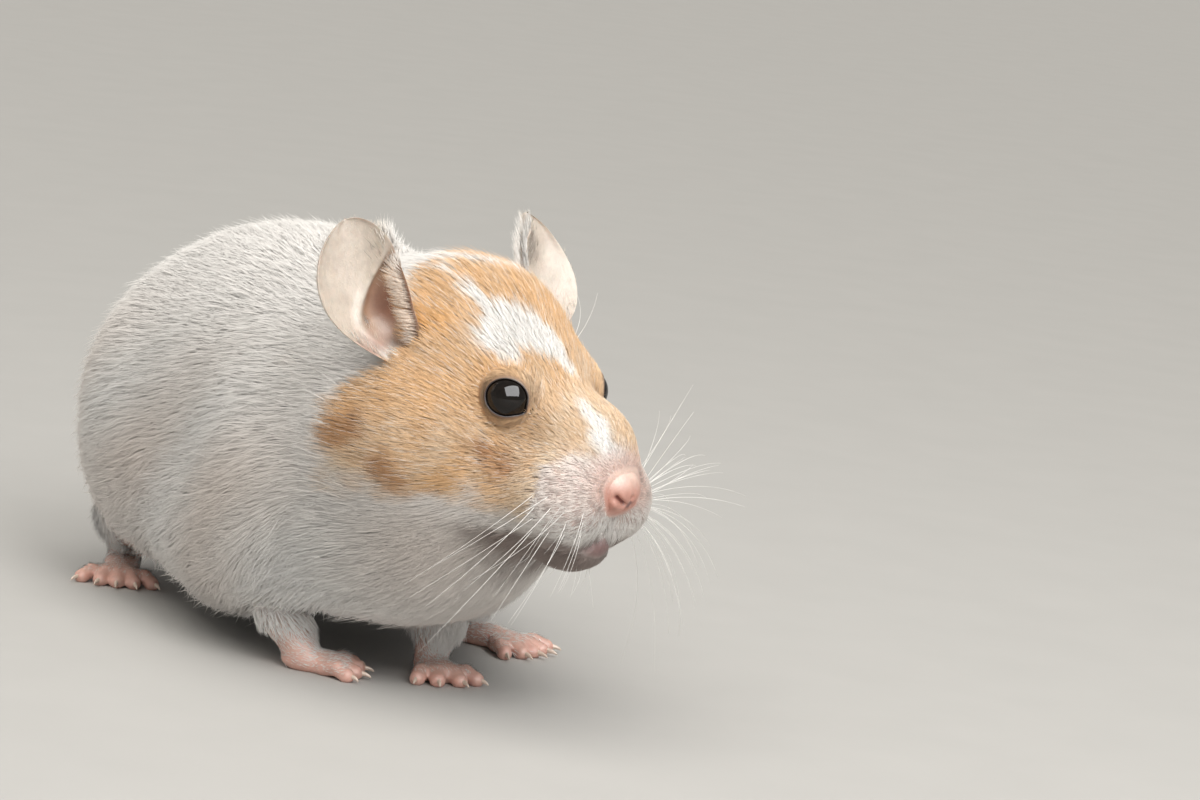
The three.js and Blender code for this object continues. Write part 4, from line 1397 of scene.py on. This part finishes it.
def whiskers():
    """Rows on each whisker pad with a few at the brow and the chin: each starts where a ray from inside
    the muzzle meets the skin. Those of the left side fan out up and down, those of the right side hang
    down and back, and the rear ones are the longest."""
    random = np.random.default_rng(SEED)
    points, faces, count = [], [], 0

    def grow(place, way, length, droop, curl):
        """Adds a whisker whose place, way and curl are in the head's frame."""
        nonlocal count
        inside = on_head((place[0] - 3, place[1] * 0.35, place[2]))
        ray = unit(on_head(place) - inside)
        start = inside + ray * (reach(inside, ray, skin_distance) - 0.2)
        rings = whisker(start, way @ HEAD_AXES, length, droop, curl @ HEAD_AXES, random)
        made, turned = closed_grid(rings, rings[0].mean(0), rings[-1].mean(0))
        points.append(made)
        faces.extend([[count + corner for corner in face] for face in turned])
        count += len(made)

    for side, (rows, count_in_row) in WHISKER_ROWS.items():
        for row in range(rows):
            for place in range(count_in_row):
                rear = place / (count_in_row - 1)
                level = 1 - 2 * row / (rows - 1)  # from 1 in the top row to -1 in the bottom row
                height = -9.35 + 2.55 * level - 0.6 * rear
                at = np.array([19.0 - 5.5 * rear, side * (5.6 + 2.4 * rear), height])
                if side > 0:
                    way = np.array([mix(1.1, 0.1, rear), 1, level * 1.3 + 0.3 * rear])
                    length = mix(13.5, 21.5, rear)
                else:
                    drop = -1.15 + 0.25 * level + 0.2 * rear
                    way = np.array([mix(0.2, -0.5, rear), -mix(0.6, 1, rear), drop])
                    length = mix(10, 20, rear)
                curl = np.array([-0.45, -0.1 * side, 0.0])
                grow(at, way, length * random.uniform(0.7, 1.12), mix(0.25, 0.6, side > 0), curl)
        for step in range(2):
            at = np.array([5.5 - 2.5 * step, side * 7.5, 9.5])
            grow(at, np.array([0.2 - 0.3 * step, side * 0.8, 0.9]), 9.0, -0.1, np.array([-0.5, 0, 0]))
        for step in range(6):
            at = np.array([17 - 1.1 * step, side * (0.8 + 0.5 * step), -18.0])
            way = np.array([0.5 - 0.25 * step, side * 0.3, -1])
            grow(at, way, 5.0 - 0.3 * step, -0.1, np.array([-0.4, 0, 0]))
    made = put_mesh("whiskers", np.concatenate(points), faces)
    shade_smooth(made)
    return made


# ---- Materials ----

EYE_BLACK = (0.006, 0.004, 0.003)
FLOOR_GREY = (0.42, 0.415, 0.40)
HORN = (0.74, 0.60, 0.50)
WHISKER_WHITE = (0.88, 0.87, 0.84)
HORIZON_GREY = (0.49, 0.475, 0.455)
SKY_GREY = (0.36, 0.355, 0.345)


def new_material(name):
    """A material with its shader and its nodes."""
    material = bpy.data.materials.new(name)
    material.use_nodes = True
    return material, material.node_tree, material.node_tree.nodes["Principled BSDF"]


def add_node(tree, kind, **settings):
    """A node with settings on it, where a name in capitals is one of its sockets."""
    node = tree.nodes.new(kind)
    for name, value in settings.items():
        if name[0].isupper():
            node.inputs[name.replace("_", " ")].default_value = value
        else:
            setattr(node, name, value)
    return node


def stored(tree, name):
    """A node that reads what is stored at the vertices."""
    return add_node(tree, "ShaderNodeAttribute", attribute_name=name)


def varied(tree, colour, scale, low, high):
    """A colour made lighter and darker by noise on the object's own coordinates."""
    place = add_node(tree, "ShaderNodeTexCoord")
    noise = add_node(tree, "ShaderNodeTexNoise", Scale=scale, Detail=4.0)
    tree.links.new(place.outputs["Object"], noise.inputs["Vector"])
    reach_of = add_node(tree, "ShaderNodeMapRange", From_Min=0.3, From_Max=0.7, To_Min=low, To_Max=high)
    tree.links.new(noise.outputs["Fac"], reach_of.inputs["Value"])
    scaled = add_node(tree, "ShaderNodeVectorMath", operation="SCALE")
    tree.links.new(colour, scaled.inputs[0])
    tree.links.new(reach_of.outputs["Result"], scaled.inputs["Scale"])
    return scaled.outputs["Vector"]


def tinted(tree, colour, scale, low, high):
    """One colour made lighter and darker by noise."""
    tint = add_node(tree, "ShaderNodeMix", data_type="RGBA", Factor=0.0)
    tint.inputs["A"].default_value = (*colour, 1)
    return varied(tree, tint.outputs["Result"], scale, low, high)


def fur_material():
    """Soft matt hair in the colour stored at each tuft."""
    material, tree, shader = new_material("fur")
    tone = stored(tree, "tone").outputs["Color"]
    tree.links.new(varied(tree, tone, 420, 0.93, 1.04), shader.inputs["Base Color"])
    shader.inputs["Roughness"].default_value = 0.72
    shader.inputs["Specular IOR Level"].default_value = 0.08
    shader.inputs["Sheen Weight"].default_value = 0.12
    shader.inputs["Sheen Roughness"].default_value = 0.5
    return material


def skin_material():
    """Skin in its stored colour: fine creases where it is bare, and nap under the coat."""
    material, tree, shader = new_material("skin")
    bare = stored(tree, "bare").outputs["Fac"]
    tone = stored(tree, "tone").outputs["Color"]
    tree.links.new(varied(tree, tone, 900, 0.9, 1.08), shader.inputs["Base Color"])
    rough = add_node(tree, "ShaderNodeMapRange", To_Min=0.85, To_Max=0.5)
    tree.links.new(bare, rough.inputs["Value"])
    tree.links.new(rough.outputs["Result"], shader.inputs["Roughness"])
    shader.inputs["Subsurface Weight"].default_value = 0.1
    shader.inputs["Subsurface Radius"].default_value = (1.0, 0.4, 0.25)
    shader.inputs["Subsurface Scale"].default_value = 0.0006
    place = add_node(tree, "ShaderNodeTexCoord")
    creases = add_node(tree, "ShaderNodeTexVoronoi", feature="DISTANCE_TO_EDGE", Scale=2600.0)
    grain = add_node(tree, "ShaderNodeTexNoise", Scale=3500.0, Detail=5.0)
    for texture in (creases, grain):
        tree.links.new(place.outputs["Object"], texture.inputs["Vector"])
    blend = add_node(tree, "ShaderNodeMix", Factor=0.5)
    tree.links.new(creases.outputs["Distance"], blend.inputs["A"])
    tree.links.new(grain.outputs["Fac"], blend.inputs["B"])
    bump = add_node(tree, "ShaderNodeBump", Strength=0.5, Distance=0.00012)
    tree.links.new(blend.outputs["Result"], bump.inputs["Height"])
    tree.links.new(bump.outputs["Normal"], shader.inputs["Normal"])
    return material


def horn_material(name, colour, roughness, scale):
    """Pale horn or hair of one colour with faint clouds in it."""
    material, tree, shader = new_material(name)
    tree.links.new(tinted(tree, colour, scale, 0.88, 1.06), shader.inputs["Base Color"])
    shader.inputs["Roughness"].default_value = roughness
    return material


def eye_material():
    """Wet black: a very dark brown iris clouded by noise, smooth and glossy."""
    material, tree, shader = new_material("wet_eye")
    tree.links.new(tinted(tree, EYE_BLACK, 1500, 0.5, 1.6), shader.inputs["Base Color"])
    shader.inputs["Roughness"].default_value = 0.04
    shader.inputs["IOR"].default_value = 1.38
    return material


def floor_material():
    """Pale matt studio floor with a faint grain."""
    material, tree, shader = new_material("studio_floor")
    tree.links.new(tinted(tree, FLOOR_GREY, 60, 0.985, 1.015), shader.inputs["Base Color"])
    shader.inputs["Roughness"].default_value = 0.8
    return material


def finished(obj, material, slot=None):
    """Gives a piece its material and, when a slot is named for it, its place under the animal's root."""
    obj.data.materials.clear()
    obj.data.materials.append(material)
    if slot:
        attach(obj, "root")


# ---- The whole skin ----

body_grid, poles = body_surface()
skin_parts = [put_mesh("body", *closed_grid(body_grid, *poles))]
skin_parts += [limb(name, leg) for name, leg in LEGS.items()]
skin_parts += [make(side) for make in (ear_mesh, lid) for side in (1, -1)]
skin_parts += [nose_pad(), tail()]
skin = joined("skin", skin_parts)
shade_smooth(skin)
skin_tone, skin_bare = skin_colour(points_of(skin))
store(skin, "tone", skin_tone)
store(skin, "bare", skin_bare, "FLOAT")
finished(skin, skin_material(), "bare_skin")
fur = fur_material()
coat = body_coat()
coat += [leg_coat("coat_" + name, leg, 50 + 4 * i) for i, (name, leg) in enumerate(LEGS.items())]
coat += [tail_coat()] + [make(side) for make in (lid_coat, ear_coat) for side in (1, -1)]
for piece in coat:
    finished(piece, fur, "coat")
eyes = [eyeball(side) for side in (1, -1)]
wet_eye = eye_material()
for eye in eyes:
    finished(eye, wet_eye, "eye")
claw_piece = claws()
finished(claw_piece, horn_material("horn", HORN, 0.35, 700), "claw")
whisker_piece = whiskers()
finished(whisker_piece, horn_material("whisker_hair", WHISKER_WHITE, 0.45, 500), "whisker")

# ---- Camera and light ----

CAMERA_AZIMUTH = math.radians(-18)
CAMERA_RISE = math.radians(9.8)
CAMERA_ROLL = math.radians(6.8)
CAMERA_DISTANCE = 620
CAMERA_LENS = 135.6
LOOK_AT = np.array([0, 0, 30.0])
FRAMING = (27.0, 8.9)  # how far right and up of that point the picture's middle lies


def add_camera():
    """A long lens at the animal's right front, tilted so that the back leans down to the right."""
    back = bearing(CAMERA_AZIMUTH, CAMERA_RISE)
    level = np.array([math.cos(CAMERA_AZIMUTH), math.sin(CAMERA_AZIMUTH), 0])
    upright = np.cross(back, level)
    right = math.cos(CAMERA_ROLL) * level + math.sin(CAMERA_ROLL) * upright
    above = math.cos(CAMERA_ROLL) * upright - math.sin(CAMERA_ROLL) * level
    place = LOOK_AT + back * CAMERA_DISTANCE
    aim = LOOK_AT + right * FRAMING[0] + above * FRAMING[1]
    backward = unit(place - aim)
    right = unit(np.cross(above, backward))
    above = np.cross(backward, right)
    camera = placed("camera", bpy.data.cameras.new("camera"))
    camera.data.lens = CAMERA_LENS
    camera.data.sensor_width = 36
    turned_to(camera, right, above, backward, place)
    bpy.context.scene.camera = camera


def bearing(azimuth, rise):
    """The direction away from the animal at a bearing round it and a rise, in radians."""
    level = math.cos(rise)
    return np.array([math.sin(azimuth) * level, -math.cos(azimuth) * level, math.sin(rise)])


def add_light(name, kind, azimuth, rise, distance, **settings):
    """A light at a bearing round the animal in degrees, turned to face it."""
    light = bpy.data.lights.new(name, kind)
    for setting, value in settings.items():
        setattr(light, setting, value)
    back = bearing(math.radians(azimuth), math.radians(rise))
    right = unit(np.cross(UP, back))
    obj = placed(name, light)
    turned_to(obj, right, np.cross(back, right), back, LOOK_AT + back * distance)
    return obj


def add_lights():
    """A broad overhead sky, a softbox in front, and a panel that only glints in the wet eye."""
    sky = {"energy": 2.6, "angle": math.radians(70), "color": (1.0, 0.96, 0.90)}
    add_light("overhead", "SUN", -45, 74, 800, **sky).visible_glossy = False
    softbox = {"size": 0.26, "energy": 2.0, "color": (1.0, 0.98, 0.96)}
    add_light("window", "AREA", 6, 42, 620, **softbox).visible_glossy = False
    glint = {"shape": "RECTANGLE", "size": 0.85, "size_y": 0.62, "energy": 19.0}
    add_light("panel", "AREA", 8, 42, 640, **glint).visible_diffuse = False


def studio_world():
    """Soft light all round, brighter near the horizon, where it meets the far floor in tone."""
    world = bpy.data.worlds.new("studio")
    world.use_nodes = True
    tree = world.node_tree
    place = add_node(tree, "ShaderNodeTexCoord")
    parts = add_node(tree, "ShaderNodeSeparateXYZ")
    tree.links.new(place.outputs["Generated"], parts.inputs["Vector"])
    height = add_node(tree, "ShaderNodeMapRange", From_Min=0.02, From_Max=0.35)
    height.interpolation_type = "SMOOTHSTEP"
    tree.links.new(parts.outputs["Z"], height.inputs["Value"])
    blend = add_node(tree, "ShaderNodeMix", data_type="RGBA")
    tree.links.new(height.outputs["Result"], blend.inputs["Factor"])
    low, high = [socket for socket in blend.inputs if socket.type == "RGBA"]
    low.default_value = (*HORIZON_GREY, 1)
    high.default_value = (*SKY_GREY, 1)
    shade = next(socket for socket in blend.outputs if socket.type == "RGBA")
    tree.links.new(shade, tree.nodes["Background"].inputs["Color"])
    bpy.context.scene.world = world


add_camera()
add_lights()
studio_world()
bpy.context.scene.view_settings.view_transform = "Standard"

FLOOR_SIZE = 60  # metres, so that its far edge lies at the horizon
bpy.ops.mesh.primitive_plane_add(size=FLOOR_SIZE)
floor = bpy.context.object
floor.name = "floor"
finished(floor, floor_material())

flesh = [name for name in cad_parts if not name.startswith("eye_")]
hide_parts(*flesh)
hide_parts("eye_left")
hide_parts("eye_right")
